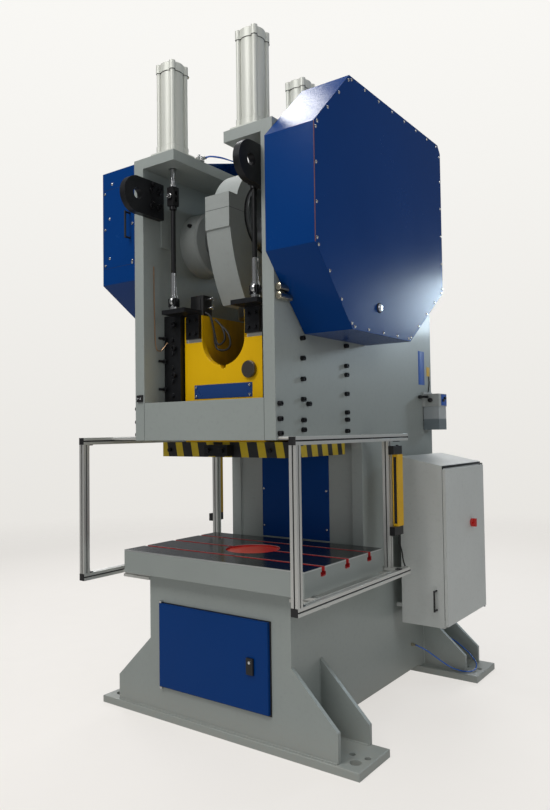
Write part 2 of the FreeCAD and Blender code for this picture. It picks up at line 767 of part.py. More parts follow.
def rod_shank():
    """The rod's shank: it narrows from the strap to the screw's end in one curve on each side."""
    y, z = (number(value) for value in big_end())
    half = number(D.rod_half)
    bottom = number(D.rod_drop)
    corners = {}
    for side in (-1, 1):
        for name, reach, drop in (("top", 342, 110), ("bend", 300, 300), ("end", 200, bottom)):
            corners[name, side] = FreeCAD.Vector(-half, y + side * reach, z - drop)
    edges = [
        Part.makeLine(corners["top", 1], corners["top", -1]),
        Part.Arc(corners["top", -1], corners["bend", -1], corners["end", -1]).toShape(),
        Part.makeLine(corners["end", -1], corners["end", 1]),
        Part.Arc(corners["end", 1], corners["bend", 1], corners["top", 1]).toShape(),
    ]
    shank = DOC.addObject("Part::Feature", "rod_shank")
    shank.Shape = Part.Face(Part.Wire(edges)).extrude(FreeCAD.Vector(2 * half, 0, 0))
    return shank


def ball_screw():
    """The height-adjusting screw that hangs from the rod, with its ring and its ball."""
    low = number(big_end()[1] - D.rod_drop)
    ball = low - 400
    profile = [(low + 158, 0), (low + 158, 59.9), (low, 59.9), (low, 105), (low - 60, 105)]
    profile += [(low - 70, 95), (low - 70, 62)]
    turns = 14
    pitch = 16
    for turn in range(turns):
        start = low - 74 - turn * pitch
        profile += [(start, 62), (start - 6, 55), (start - 9, 55), (start - pitch + 1, 62)]
    profile += [(ball + 80, 50)]
    for step in range(1, 10):
        angle = math.radians(52 + step * 12.8)
        profile.append((ball + 85 * math.cos(angle), 85 * math.sin(angle)))
    profile.append((ball - 85 * math.cos(math.radians(8)), 0))
    keep(turned("ball_screw", "Z", (0, D.crank_y, 0), profile), "ball_screw")


# ---- slide ------------------------------------------------------------------------------

def slide_body():
    """The hollow slide: open pocket for the rod, round-bottomed front window and guide wings."""
    span = (-D.slide_half, D.slide_half)
    depth = (D.slide_front, D.slide_back)
    base = block("slide_block", span, depth, (D.slide_bottom, D.slide_top))
    wing_limits = ((D.wing_front, D.wing_back), (D.slide_bottom + 60, D.slide_top - 60))
    wings = [
        block("slide_wing_left", (-D.slide_half - D.wing, -D.slide_half + 5), *wing_limits),
        block("slide_wing_right", (D.slide_half - 5, D.slide_half + D.wing), *wing_limits),
    ]
    whole = fused("slide_blank", [base, *wings])
    pocket_low = D.slide_bottom + D.pocket_floor
    pocket = block("slide_pocket", (-D.pocket_half, D.pocket_half),
                   (D.slide_front + D.slide_wall, D.slide_back - D.slide_wall),
                   (pocket_low, D.slide_top + 5))
    wall = (D.slide_front - 5, D.slide_front + D.slide_wall + 5)
    arch_z = D.window_low + D.pocket_half
    arch = rod("window_arch", "Y", (0, arch_z), *wall, D.pocket_half)
    window = block("window_slot", (-D.pocket_half, D.pocket_half), wall, (arch_z, D.slide_top + 5))
    notch = rod("window_notch", "Y", (0, D.window_low), *wall, 20)
    seats = []
    for side, limits in (("left", (-D.slide_half + 12, -D.pocket_half - 4)),
                         ("right", (D.pocket_half + 4, D.slide_half - 12))):
        seats.append(block(f"seat_{side}", limits, (D.slide_front - 5, D.slide_front + 10),
                           (D.seat_low, D.slide_top + 5)))
    shank = rod("slide_shank", "Z", (0, D.table_middle), D.slide_bottom - 5, pocket_low - 12,
                D.shank_bore)
    tools = [pocket, arch, window, notch, *seats, shank]
    keep(cut("slide_body", whole, tools), "slide_body")


def slide_plate():
    """The wide tool plate under the slide, with the shank bore and two rows of tapped holes."""
    outline = rectangle((-D.bed_half, D.bed_half), (D.bed_front, D.bed_back))
    circles = [(0, D.table_middle, D.shank_bore)]
    for x in (-330, -165, 165, 330):
        for y in (180, 510):
            circles.append((x, y, 10))
    body = plate("slide_plate", "XY", outline, D.bed_bottom, D.slide_bottom, circles=circles)
    keep(body, "slide_plate")


def shank_clamp():
    """The clamp block on the front of the tool plate with its two square-headed screws."""
    steps = [block("clamp_block", (-82, 82), (15, D.bed_front), (1512, 1574))]
    for x in (-50, 50):
        steps.append(rod(f"clamp_screw_{x + 50}", "Y", (x, 1543), -4, 15, 14))
    for x in (-400, 330):
        steps.append(rod(f"side_screw_{x + 400}", "Y", (x, 1543), D.bed_front - 14, D.bed_front, 12))
    keep(grouped("shank_clamp", [fused("clamp", steps[:3]), *steps[3:]]), "shank_clamp")


def adjuster_disc():
    """The round cap of the height-adjusting drive on the slide's front."""
    face = D.slide_front
    profile = [(face, 0), (face, 47), (face - 16, 47), (face - 20, 43), (face - 20, 0)]
    body = turned("adjuster_disc", "Y", (190, 0, 1987), profile)
    keep(body, "adjuster_disc")


def slide_label():
    """The plain plate on the slide's front with its four round-headed screws."""
    outline = rectangle((-216, 206), (1836, 1916))
    sheet = plate("label_sheet", "XZ", outline, D.slide_front - 2, D.slide_front)
    heads = []
    for x in (-204, 194):
        for z in (1848, 1904):
            heads.append(rod(f"label_screw_{x + 300}_{z}", "Y", (x, z), D.slide_front - 6,
                             D.slide_front - 2, 5))
    keep(fused("slide_label", [sheet, *heads]), "slide_label")


def rod_bracket(label, side):
    """The black angle bracket that ties one counterbalance rod to the slide's horn."""
    shelf = sorted((side * 168, side * 345))
    wall = sorted((side * 168, side * 268))
    seat = D.slide_front + 10
    under = D.bracket_top - D.bracket_plate
    steps = [
        block(f"{label}_shelf", shelf, (-45, 46), (under, D.bracket_top)),
        block(f"{label}_neck", wall, (46, seat), (under, D.bracket_top)),
        block(f"{label}_wall", wall, (seat - D.bracket_plate, seat), (D.bracket_low, under)),
    ]
    for z in (2215, 2290):
        for x in (side * 195, side * 243):
            steps.append(rod(f"{label}_bolt_{z}_{x + 300}", "Y", (x, z), seat - 39, seat - 25, 11))
    keep(fused(label, steps), label)


# ---- counterbalance cylinders -----------------------------------------------------------

def cylinder(label, x, y):
    """A profile-barrel air cylinder standing on the top plate: flange, two caps, barrel, bore."""
    foot_level = D.head_top
    top = D.cylinder_top
    steps = [block(f"{label}_flange", (x - 90, x + 90), (y - 90, y + 90), (foot_level, foot_level + 20))]
    levels = ((foot_level + 20, foot_level + 64, 70, 18), (foot_level + 64, top - 50, 66, 14),
              (top - 50, top, 70, 18))
    for step, (low, high, core, post) in enumerate(levels):
        steps.append(rod(f"{label}_core_{step}", "Z", (x, y), low, high, core))
        for across in (-1, 1):
            for along in (-1, 1):
                steps.append(rod(f"{label}_post_{step}_{across + 1}_{along + 1}", "Z",
                                 (x + across * 53, y + along * 53), low, high, post))
    whole = fused(f"{label}_blank", steps)
    tools = [rod(f"{label}_bore", "Z", (x, y), foot_level + 45, top - 25, 62.5),
             rod(f"{label}_gland", "Z", (x, y), foot_level - 5, foot_level + 50, 16 + D.running_gap)]
    keep(cut(label, whole, tools), label)


def tie_rod(label, x, y, low):
    """Piston and rod, fork joint, long black rod and threaded rod end down to the slide."""
    top = D.cylinder_top - 55
    steps = [
        rod(f"{label}_piston", "Z", (x, y), top - 35, top, 62.45),
        rod(f"{label}_rod", "Z", (x, y), 3060, top - 20, 16),
        rod(f"{label}_lower_rod", "Z", (x, y), 2560, 2975, 14),
        rod(f"{label}_lower_nut", "Z", (x, y), 2940, 2962, 21),
        rod(f"{label}_rod_end", "Z", (x, y), 2430, 2570, 17),
        rod(f"{label}_stud", "Z", (x, y), low, 2440, 12),
        rod(f"{label}_jam_nut", "Z", (x, y), 2418, 2436, 22),
        rod(f"{label}_base_nut", "Z", (x, y), low, low + 22, 24),
    ]
    fork = block(f"{label}_fork", (x - 24, x + 24), (y - 24, y + 24), (2962, 3072))
    slot = block(f"{label}_slot", (x - 30, x + 30), (y - 9, y + 9), (2985, 3050))
    pin = rod(f"{label}_pin", "Y", (x, 3016), y - 32, y + 32, 13)
    eye = rod(f"{label}_eye", "Y", (x, 3016), y - 9, y + 9, 22)
    joint = cut(f"{label}_open_fork", fork, [slot])
    keep(fused(label, [*steps, joint, pin, eye]), label)


# ---- drive covers -----------------------------------------------------------------------

GEAR_COVER = [(170, 3472), (-177, 3115), (-177, 2534), (163, 2158), (846, 2158), (1348, 2518),
              (1348, 3425), (1310, 3472)]
WHEEL_COVER = [(-D.wheel_cover_front, 3226), (-D.wheel_cover_front, 2540), (470, 2170), (1450, 2170),
               (1600, 2320), (1600, 3300), (1350, 3550), (950, 3550)]


def inset(points, depth):
    """The same convex outline moved inwards by that depth."""
    points = [(number(first), number(second)) for first, second in points]
    middle = [sum(axis) / len(points) for axis in zip(*points)]
    moved = []
    for before, here, after in zip(points[-1:] + points[:-1], points, points[1:] + points[:1]):
        lines = []
        for start, end in ((before, here), (here, after)):
            run = (end[0] - start[0], end[1] - start[1])
            length = math.hypot(*run)
            normal = (-run[1] / length, run[0] / length)
            inward = normal[0] * (middle[0] - here[0]) + normal[1] * (middle[1] - here[1])
            if inward < 0:
                normal = (-normal[0], -normal[1])
            shift = depth + normal[0] * here[0] + normal[1] * here[1]
            lines.append((*normal, shift))
        (a, b, c), (p, q, r) = lines
        scale = a * q - b * p
        moved.append(((c * q - b * r) / scale, (a * r - c * p) / scale))
    return moved


def gear_cover():
    """The deep eight-sided band round the gears with its inner flange for the outer panel."""
    outer = plate("gear_band_outer", "YZ", GEAR_COVER, D.cover_inner, D.gear_cover_outer - D.sheet)
    cavity = plate("gear_band_cavity", "YZ", inset(GEAR_COVER, number(D.sheet)), D.cover_inner - 5,
                   D.gear_cover_outer - 8)
    mouth = plate("gear_band_mouth", "YZ", inset(GEAR_COVER, 32), D.cover_inner, D.gear_cover_outer)
    keep(cut("gear_cover", outer, [cavity, mouth]), "gear_cover")
    bolt = rod("gear_panel_plug", "X", (456, 2304), D.gear_cover_outer, D.gear_cover_outer + 12, 20)
    panel = plate("gear_panel_sheet", "YZ", GEAR_COVER, D.gear_cover_outer - D.sheet, D.gear_cover_outer)
    keep(fused("gear_cover_panel", [panel, bolt]), "gear_cover_panel")


def wheel_cover():
    """The flywheel cover: a closed sheet box, open towards the side plate."""
    outer = plate("wheel_box", "YZ", WHEEL_COVER, -D.wheel_cover_outer, -D.cover_inner)
    cavity = plate("wheel_cavity", "YZ", inset(WHEEL_COVER, number(D.sheet)),
                   -D.wheel_cover_outer + D.sheet, -D.cover_inner + 5)
    keep(cut("flywheel_cover", outer, [cavity]), "flywheel_cover")


def cover_screws():
    """Domed screws: round the rim of the gear panel, and on the front of the flywheel cover."""
    rim = inset(GEAR_COVER, 16)
    heads = []
    for index, (start, end) in enumerate(zip(rim, rim[1:] + rim[:1])):
        run = (end[0] - start[0], end[1] - start[1])
        length = math.hypot(*run)
        if length < 100:
            continue
        spaces = max(2, round(length / 170))
        for step in range(spaces + 1):
            along = min(max(step / spaces, 18 / length), 1 - 18 / length)
            y = start[0] + along * run[0]
            z = start[1] + along * run[1]
            heads.append(domed_screw(f"rim_screw_{index}_{step}", "X", y, z, D.gear_cover_outer, 1))
    for x, z in ((-724, 2942), (-724, 2700), (-700, 3150), (-530, 3150), (-530, 2650)):
        heads.append(domed_screw(f"front_screw_{-x}_{z}", "Y", x, z, -D.wheel_cover_front, -1))
    keep(grouped("cover_screws", heads), "cover_screws")


def domed_screw(name, axis, first, second, seat, way):
    """A round screw head: a short cone with a small flat, standing on a face."""
    low = number(seat)
    dome = DOC.addObject("Part::Cone", name)
    dome.Radius1 = 9
    dome.Radius2 = 4.5
    dome.Height = 5
    ways = {("X", 1): (0, 1, 0, 90), ("Y", -1): (1, 0, 0, 90)}
    x, y, z, turn = ways[axis, way]
    spot = (low, first, second) if axis == "X" else (first, low, second)
    dome.Placement = FreeCAD.Placement(FreeCAD.Vector(*spot),
                                       FreeCAD.Rotation(FreeCAD.Vector(x, y, z), turn))
    return dome


def bow_handle(name, x, y, z, reach, half):
    """A bent round bar along Z that stands out towards the front."""
    steps = [
        rod(f"{name}_grip", "Z", (x, y - reach), z - half, z + half, 6),
        rod(f"{name}_low_leg", "Y", (x, z - half + 6), y - reach, y, 6),
        rod(f"{name}_high_leg", "Y", (x, z + half - 6), y - reach, y, 6),
    ]
    return fused(name, steps)


def bow_handles():
    """Handles of the flywheel cover and of the control cabinet."""
    handles = [
        bow_handle("cover_handle", -545, -D.wheel_cover_front, 2870, 38, 80),
        bow_handle("cabinet_handle", 803, D.cabinet_front, 602, 38, 64),
    ]
    keep(grouped("bow_handles", handles), "bow_handles")


# ---- doors ------------------------------------------------------------------------------

DOOR_AXIS_Y = -(D.door_gap + D.door_thick / 2)
DOOR_AXIS_X = -D.door_left + 8
LOCK_SPOT = (258, 423)


def door_corner(point):
    """True at the four corners of the cupboard door's outer face."""
    at_edge = near(point.x, D.door_right) or near(point.x, -D.door_left)
    return at_edge and near(point.y, -(D.door_gap + D.door_thick))


def lower_door():
    """The folded cupboard door with its pin bores and the hole of the lock."""
    outline = rectangle((-D.door_left, D.door_right), (D.door_low, D.door_high))
    body = plate("door_panel", "XZ", outline, -(D.door_gap + D.door_thick), -D.door_gap,
                 circles=[(*LOCK_SPOT, 14.05)])
    rounded(body, 4, door_corner)
    bores = []
    for name, low, high in (("low", D.door_low - 1, D.door_low + 26),
                            ("high", D.door_high - 26, D.door_high + 1)):
        bores.append(rod(f"door_bore_{name}", "Z", (DOOR_AXIS_X, DOOR_AXIS_Y), low, high, 4.05))
    hollow = block("door_hollow", (-D.door_left + 25, D.door_right - 25),
                   (-(D.door_gap + D.door_thick) + D.sheet, -D.door_gap + 1),
                   (D.door_low + 35, D.door_high - 35))
    boss = rod("door_boss", "Y", LOCK_SPOT, -(D.door_gap + D.door_thick), -D.door_gap - 5, 24)
    hole = rod("door_boss_hole", "Y", LOCK_SPOT, -(D.door_gap + D.door_thick) - 5, -D.door_gap + 5, 14.05)
    shell = fused("door_shell", [cut("door_folded", body, [*bores, hollow]), boss])
    keep(cut("lower_door", shell, [hole]), "lower_door")


def door_lock():
    """The quarter-turn lock: barrel through the door, grip plate outside and cam inside."""
    face = -(D.door_gap + D.door_thick)
    steps = [
        rod("lock_barrel", "Y", LOCK_SPOT, face - 2, -D.door_gap + 8, 14),
        block("lock_grip", (LOCK_SPOT[0] - 22, LOCK_SPOT[0] + 22), (face - 12, face - 1),
              (LOCK_SPOT[1] - 43, LOCK_SPOT[1] + 43)),
        block("lock_cam", (LOCK_SPOT[0] - 12, LOCK_SPOT[0] + 12), (D.web_plate + 2, D.web_plate + 6),
              (LOCK_SPOT[1] - 14, LOCK_SPOT[1] + 14)),
        rod("lock_stem", "Y", LOCK_SPOT, -D.door_gap, D.web_plate + 4, 8),
    ]
    keep(fused("door_lock", steps), "door_lock")


CABINET_AXIS = (D.cabinet_outer + 13, D.cabinet_back - 10)


def hinge_pins():
    """Short pins on small lugs, above and below both doors."""
    pins = []
    for name, way, level in (("low", -1, D.door_low), ("high", 1, D.door_high)):
        inner = sorted((number(level) - way * 24, number(level) + way * 14))
        lug = sorted((number(level) + way * 2, number(level) + way * 14))
        pin = rod(f"door_pin_{name}", "Z", (DOOR_AXIS_X, DOOR_AXIS_Y), *inner, 4)
        tab = block(f"door_lug_{name}", (DOOR_AXIS_X - 8, DOOR_AXIS_X + 8), (DOOR_AXIS_Y - 7, 0), lug)
        pins.append(fused(f"door_hinge_{name}", [pin, tab]))
    for name, way, level in (("low", -1, D.cabinet_low + 12), ("high", 1, D.cabinet_high - 22)):
        inner = sorted((number(level) - way * 24, number(level) + way * 12))
        lug = sorted((number(level) + way * 2, number(level) + way * 12))
        pin = rod(f"cabinet_pin_{name}", "Z", CABINET_AXIS, *inner, 4)
        tab = block(f"cabinet_lug_{name}", (D.cabinet_outer, CABINET_AXIS[0] + 6),
                    (CABINET_AXIS[1] - 6, CABINET_AXIS[1] + 6), lug)
        pins.append(fused(f"cabinet_hinge_{name}", [pin, tab]))
    keep(grouped("hinge_pins", pins), "hinge_pins")


# ---- control cabinet --------------------------------------------------------------------

def cabinet_profile(inset_by):
    """The cabinet's cross-section in X and Z: upright sides under a roof that falls outwards."""
    return [
        (D.cabinet_inner + inset_by, D.cabinet_low + inset_by),
        (D.cabinet_outer - inset_by, D.cabinet_low + inset_by),
        (D.cabinet_outer - inset_by, D.cabinet_high - inset_by),
        (D.cabinet_inner + inset_by, D.cabinet_high + D.cabinet_rise - inset_by),
    ]


def cabinet_box():
    """The sheet cabinet with its front opening, a mounting plate inside and four stand-offs."""
    shell = plate("cabinet_shell", "XZ", cabinet_profile(0), D.cabinet_front, D.cabinet_back)
    room = plate("cabinet_room", "XZ", cabinet_profile(2), D.cabinet_front + 2, D.cabinet_back - 2)
    mouth = block("cabinet_mouth", (D.cabinet_outer - 10, D.cabinet_outer + 5),
                  (D.cabinet_front + 25, D.cabinet_back - 25),
                  (D.cabinet_low + 25, D.cabinet_high - 45))
    box = cut("cabinet_case", shell, [room, mouth])
    steps = [box, block("cabinet_mounting", (D.cabinet_inner + 20, D.cabinet_inner + 23),
                        (D.cabinet_front + 40, D.cabinet_back - 40),
                        (D.cabinet_low + 50, D.cabinet_high - 60))]
    for y in (D.cabinet_front + 80, D.cabinet_back - 80):
        for z in (D.cabinet_low + 90, D.cabinet_high - 90):
            steps.append(rod(f"standoff_{number(y):.0f}_{number(z):.0f}", "X", (y, z),
                             D.frame_half, D.cabinet_inner + 21, 14))
    keep(fused("cabinet_box", steps), "cabinet_box")


def cabinet_door():
    """The cabinet's folded door, hinged at its back edge."""
    low = D.cabinet_low + 12
    high = D.cabinet_high - 22
    span = (D.cabinet_outer + 3, D.cabinet_outer + 23)
    panel = block("cabinet_panel", span, (D.cabinet_front + 4, D.cabinet_back - 4), (low, high))
    hollow = block("cabinet_panel_hollow", (D.cabinet_outer + 2, D.cabinet_outer + 21),
                   (D.cabinet_front + 24, D.cabinet_back - 24), (low + 28, high - 28))
    spot = (D.switch_y, D.switch_z)
    tools = [hollow, rod("switch_bore", "X", spot, D.cabinet_outer, D.cabinet_outer + 25, 10.05)]
    for name, start, end in (("low", low - 1, low + 26), ("high", high - 26, high + 1)):
        tools.append(rod(f"cabinet_bore_{name}", "Z", CABINET_AXIS, start, end, 4.05))
    keep(cut("cabinet_door", panel, tools), "cabinet_door")


def main_switch():
    """The red rotary handle with its shaft through the cabinet door."""
    seat = D.cabinet_outer + 23
    spot = (D.switch_y, D.switch_z)
    steps = [
        rod("switch_shaft", "X", spot, D.cabinet_outer - 30, seat + 4, 10),
        rod("switch_dial", "X", spot, seat + 1, seat + 12, 27),
        block("switch_grip", (seat + 11, seat + 34), (D.switch_y - 8, D.switch_y + 8),
              (D.switch_z - 26, D.switch_z + 26)),
    ]
    keep(fused("main_switch", steps), "main_switch")


# ---- lubricator -------------------------------------------------------------------------

def lubricator():
    """The hand oil pump on the right side plate: housing, clear reservoir and pull handle."""
    steps = [
        block("pump_backing", (D.frame_half, D.frame_half + 12), (D.pump_front - 5, D.pump_back + 5),
              (D.pump_low, D.pump_high + 15)),
        block("pump_housing", (D.frame_half, D.frame_half + 122), (D.pump_front, D.pump_back),
              (D.pump_low, D.pump_high)),
    ]
    spot = (D.frame_half + 40, D.pump_rod_z)
    bore = rod("pump_bore", "Y", spot, D.pump_front - 5, D.pump_back - 15, 7.05)
    whole = fused("pump_blank", steps)
    keep(cut("lubricator_body", whole, [bore]), "lubricator_body")
    outline = rectangle((D.frame_half + 4, D.frame_half + 120), (D.pump_front + 4, D.pump_back - 4))
    tank = plate("tank_outer", "XY", outline, D.tank_low, D.pump_low)
    room = block("tank_room", (D.frame_half + 8, D.frame_half + 116),
                 (D.pump_front + 8, D.pump_back - 8), (D.tank_low + 4, D.pump_low + 1))
    keep(cut("lubricator_reservoir", tank, [room]), "lubricator_reservoir")
    grip = D.pump_front - 70
    handle = [
        rod("pump_rod", "Y", spot, grip, D.pump_back - 35, 7),
        rod("pump_bar", "X", (grip, D.pump_rod_z), D.frame_half + 8, D.frame_half + 72, 8),
    ]
    keep(fused("pump_handle", handle), "pump_handle")


# ---- guards -----------------------------------------------------------------------------

def profile_bar(name, axis, middle, start, end):
    """A square aluminium profile with a groove along each of its four faces."""
    along = "XYZ".index(axis)
    across = [index for index in range(3) if index != along]
    bounds = [(start, end)] * 3
    for index, centre in zip(across, middle):
        bounds[index] = (centre - D.profile / 2, centre + D.profile / 2)
    bar = block(name, *bounds)
    grooves = []
    for face, other in (across, across[::-1]):
        centre = middle[across.index(other)]
        low, high = bounds[face]
        for end_name, limits in (("low", (low - 1, low + D.groove_depth)),
                                 ("high", (high - D.groove_depth, high + 1))):
            groove = list(bounds)
            groove[other] = (centre - D.groove / 2, centre + D.groove / 2)
            groove[face] = limits
            grooves.append(block(f"{name}_groove_{face}_{end_name}", *groove))
    return cut(f"{name}_profile", bar, grooves)


def guard_frame(label, side):
    """A side guard: two long rails, the front post, the sensor post and ties to the frame."""
    half = D.profile / 2
    x = side * D.guard_x
    post = side * D.post_x
    bottom = D.guard_low + half
    top = D.guard_high - half
    tie = sorted((number(side * D.frame_half), number(x - side * half)))
    parts = []
    for level, z in (("low", bottom), ("high", top)):
        parts.append(profile_bar(f"{label}_rail_{level}", "Y", (x, z), -D.guard_front, D.guard_back))
        parts.append(profile_bar(f"{label}_tie_{level}", "X", (D.post_y, z), *tie))
    span = (D.guard_low + D.profile, D.guard_high - D.profile)
    parts.append(profile_bar(f"{label}_front_post", "Z", (x, -D.guard_front + half), *span))
    parts.append(profile_bar(f"{label}_sensor_post", "Z", (post, D.post_y), *span))
    parts.append(profile_bar(f"{label}_front_tie", "X", (D.tie_y, D.tie_z), *tie))
    parts.append(rod(f"{label}_head_bolt", "X", (-82, D.guard_high - 9), *tie, 8))
    keep(fused(label, parts), label)


def light_curtains():
    """A sensor bar beside each rear post, just behind it, with its two end brackets."""
    bars = []
    for side in (-1, 1):
        inner = number(side * (D.post_x + D.profile / 2))
        width = sorted((inner + side * 2, inner + side * 36))
        clamp = sorted((inner, inner + side * 34))
        depth = (D.curtain_front, D.curtain_back)
        steps = [block(f"curtain_{side + 1}", width, depth, (D.curtain_low, D.curtain_high))]
        for name, low, high in (("low", D.curtain_low - 50, D.curtain_low),
                                ("high", D.curtain_high, D.curtain_high + 50)):
            steps.append(block(f"curtain_{name}_{side + 1}", clamp,
                               (D.post_y - D.profile / 2, D.curtain_back - 3), (low, high)))
        bars.append(fused(f"curtain_bar_{side + 1}", steps))
    keep(grouped("light_curtains", bars), "light_curtains")


# ---- air hose ---------------------------------------------------------------------------

HOSE_RADIUS = 4
HOSE_ROUTE = [
    (530, 1405, 220), (576, 1424, 202), (622, 1474, 152), (666, 1528, 98), (718, 1560, 60),
    (776, 1570, 49), (826, 1592, 47), (848, 1640, 52), (836, 1695, 74), (792, 1728, 108),
    (730, 1741, 150), (660, 1743, 190), (592, 1738, 222), (530, 1735, 236),
]


def hose_path(route):
    """Straight runs joined by tangent arcs, each as large as its two runs allow."""
    points = [FreeCAD.Vector(*point) for point in route]
    edges = []
    here = points[0]
    for before, corner, after in zip(points, points[1:], points[2:]):
        back = (before - corner).normalize()
        ahead = (after - corner).normalize()
        turn = math.pi - back.getAngle(ahead)
        shorter = min((before - corner).Length, (after - corner).Length)
        trim = 0.45 * shorter
        radius = trim / math.tan(turn / 2)
        print(f"hose radius {radius:.0f}")
        start = corner + back * trim
        end = corner + ahead * trim
        bisector = (back + ahead).normalize()
        middle = corner + bisector * (radius / math.cos(turn / 2) - radius)
        edges.append(Part.LineSegment(here, start).toShape())
        edges.append(Part.Arc(start, middle, end).toShape())
        here = end
    edges.append(Part.LineSegment(here, points[-1]).toShape())
    return Part.Wire(edges)


def air_hose():
    """The loose air hose from one side-plate fitting to the other."""
    path = hose_path(HOSE_ROUTE)
    start = FreeCAD.Vector(*HOSE_ROUTE[0])
    heading = FreeCAD.Vector(*HOSE_ROUTE[1]) - start
    section = Part.Wire(Part.Circle(start, heading, HOSE_RADIUS).toShape())
    tube = path.makePipeShell([section], True, False)
    expected = math.pi * HOSE_RADIUS ** 2 * path.Length
    assert abs(tube.Volume / expected - 1) < 0.01, "hose volume"
    hose = DOC.addObject("Part::Feature", "air_hose")
    hose.Shape = tube
    keep(hose, "air_hose")


def hose_fittings():
    """Push-in fittings on the right side plate at both ends of the hose."""
    fittings = []
    for name, (x, y, z) in (("front", HOSE_ROUTE[0]), ("back", HOSE_ROUTE[-1])):
        steps = [rod(f"fitting_hexagon_{name}", "X", (y, z), D.frame_half, D.frame_half + 12, 11),
                 rod(f"fitting_collar_{name}", "X", (y, z), D.frame_half + 12, x, 8)]
        fittings.append(fused(f"fitting_{name}", steps))
    keep(grouped("hose_fittings", fittings), "hose_fittings")


# ---- assembly ---------------------------------------------------------------------------

def gibs():
    """Four guide blocks bolted inside the side plates, in front of and behind the slide's wings."""
    blocks = []
    for side in (-1, 1):
        limits = sorted((side * number(D.slide_half + 8), side * number(INNER)))
        for name, depth in (("front", (60, 189)), ("back", (591, 720))):
            gib = block(f"gib_{name}_{side + 1}", limits, depth, (D.head_bottom + 49, D.slide_top + 15))
            screws = [gib]
            if name == "front":
                for step in range(8):
                    head = rod(f"gib_screw_{side + 1}_{step}", "Y", (side * 360, 1700 + 82 * step),
                               50, 60, 12)
                    screws.append(head)
            blocks.append(fused(f"gib_{name}_{side + 1}_whole", screws))
    keep(grouped("gibs", blocks), "gibs")


def build():
    """Makes every sub-part of the press."""
    side_plate("side_plate_left", -D.frame_half, -INNER)
    side_plate("side_plate_right", INNER, D.frame_half)
    front_plate()
    front_holes = ((766, 157, D.anchor_hole), (852, 157, D.anchor_hole), (824, 86, D.jack_hole))
    foot("front_foot", -D.front_foot_lip, D.front_foot_back, front_holes)
    rear_holes = ((766, 157, D.anchor_hole), (852, 157, D.anchor_hole))
    foot("rear_foot", D.rear_foot_front, D.rear_foot_back, rear_holes)
    foot_gussets()
    throat_wall()
    head_cross_plate()
    top_plate()
    back_plate()
    frame_bearings()
    table_plate()
    throat_panel()
    lifting_lugs()
    frame_screws()
    gibs()
    crankshaft()
    bull_gear()
    pinion_shaft()
    flywheel()
    motor()
    motor_pulley()
    drive_belts()
    conrod()
    ball_screw()
    slide_body()
    slide_plate()
    shank_clamp()
    adjuster_disc()
    slide_label()
    rod_bracket("rod_bracket_left", -1)
    rod_bracket("rod_bracket_right", 1)
    spots = (("left", -D.cylinder_x, D.cylinder_y, 2350), ("right", D.cylinder_x, D.cylinder_y, 2350),
             ("rear", D.rear_cylinder_x, D.rear_cylinder_y, D.slide_top))
    for name, x, y, low in spots:
        cylinder(f"cylinder_{name}", x, y)
        tie_rod(f"tie_rod_{name}", x, y, low)
    gear_cover()
    wheel_cover()
    cover_screws()
    bow_handles()
    lower_door()
    door_lock()
    hinge_pins()
    cabinet_box()
    cabinet_door()
    main_switch()
    lubricator()
    guard_frame("guard_frame_left", -1)
    guard_frame("guard_frame_right", 1)
    light_curtains()
    air_hose()
    hose_fittings()


def check_and_export():
    """Stops on any failed object, then writes each finished sub-part to its own file."""
    DOC.recompute()
    failed = [item.Label for item in DOC.Objects if {"Invalid", "Error"} & set(item.State)]
    if failed:
        raise RuntimeError(f"failed: {failed}")
    labels = [item.Label for item in KEPT]
    assert len(set(labels)) == len(labels) and len(labels) <= 60, len(labels)
    for item in KEPT:
        if item.Shape.isNull() or not item.Shape.isValid():
            raise RuntimeError(f"{item.Label} has no valid shape")
        item.Shape.exportStep(f"parts/{item.Label}.step")
        print(f"{item.Label:24s} {len(item.Shape.Solids):3d} solids {item.Shape.Volume / 1e6:9.3f} l")
    print(len(KEPT), "sub-parts")


build()
check_and_export()
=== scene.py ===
# %% [markdown]
# # An open-front eccentric press
# A press of this kind is a welded box of thick plates, shaped like a C, with a heavy slide that a crank pushes
# up and down in front of the table. Its looks come from a few finishes: satin grey paint on plate, blue gloss
# paint on sheet covers, yellow on the slide, ground steel on the table, and black oxide on bolted parts.
# The hard shapes come ready made from the CAD model. Here they get their finishes, and the small parts that a
# drawing leaves out: weld seams, tubes, cables, end caps and plates.

# %% Load the machine
import math
import bmesh
import bpy
import numpy as np
from mathutils import Matrix, Vector


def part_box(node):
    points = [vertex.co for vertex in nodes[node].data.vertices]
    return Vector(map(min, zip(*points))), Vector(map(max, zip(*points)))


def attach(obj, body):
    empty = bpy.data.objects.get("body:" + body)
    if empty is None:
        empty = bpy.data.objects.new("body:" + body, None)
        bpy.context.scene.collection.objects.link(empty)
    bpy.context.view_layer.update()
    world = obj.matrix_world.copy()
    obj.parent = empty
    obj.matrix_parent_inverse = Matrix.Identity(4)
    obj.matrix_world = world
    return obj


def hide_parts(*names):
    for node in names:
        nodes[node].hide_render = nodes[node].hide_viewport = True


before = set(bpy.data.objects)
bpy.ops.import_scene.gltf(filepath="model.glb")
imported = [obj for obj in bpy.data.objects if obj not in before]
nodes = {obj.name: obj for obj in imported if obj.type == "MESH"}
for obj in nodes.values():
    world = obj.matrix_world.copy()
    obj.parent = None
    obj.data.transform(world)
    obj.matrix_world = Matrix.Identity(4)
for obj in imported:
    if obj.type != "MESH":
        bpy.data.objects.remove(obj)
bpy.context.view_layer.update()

# %% [markdown]
# ## The camera
# The machine is seen from its front right corner, by a standing person. Three turns place such a camera: round
# the upright axis, up or down, and a slight tilt of the head. We work out the camera's three axes from the
# turns and write them as the columns of its matrix, which is plainer than juggling with Euler angles.

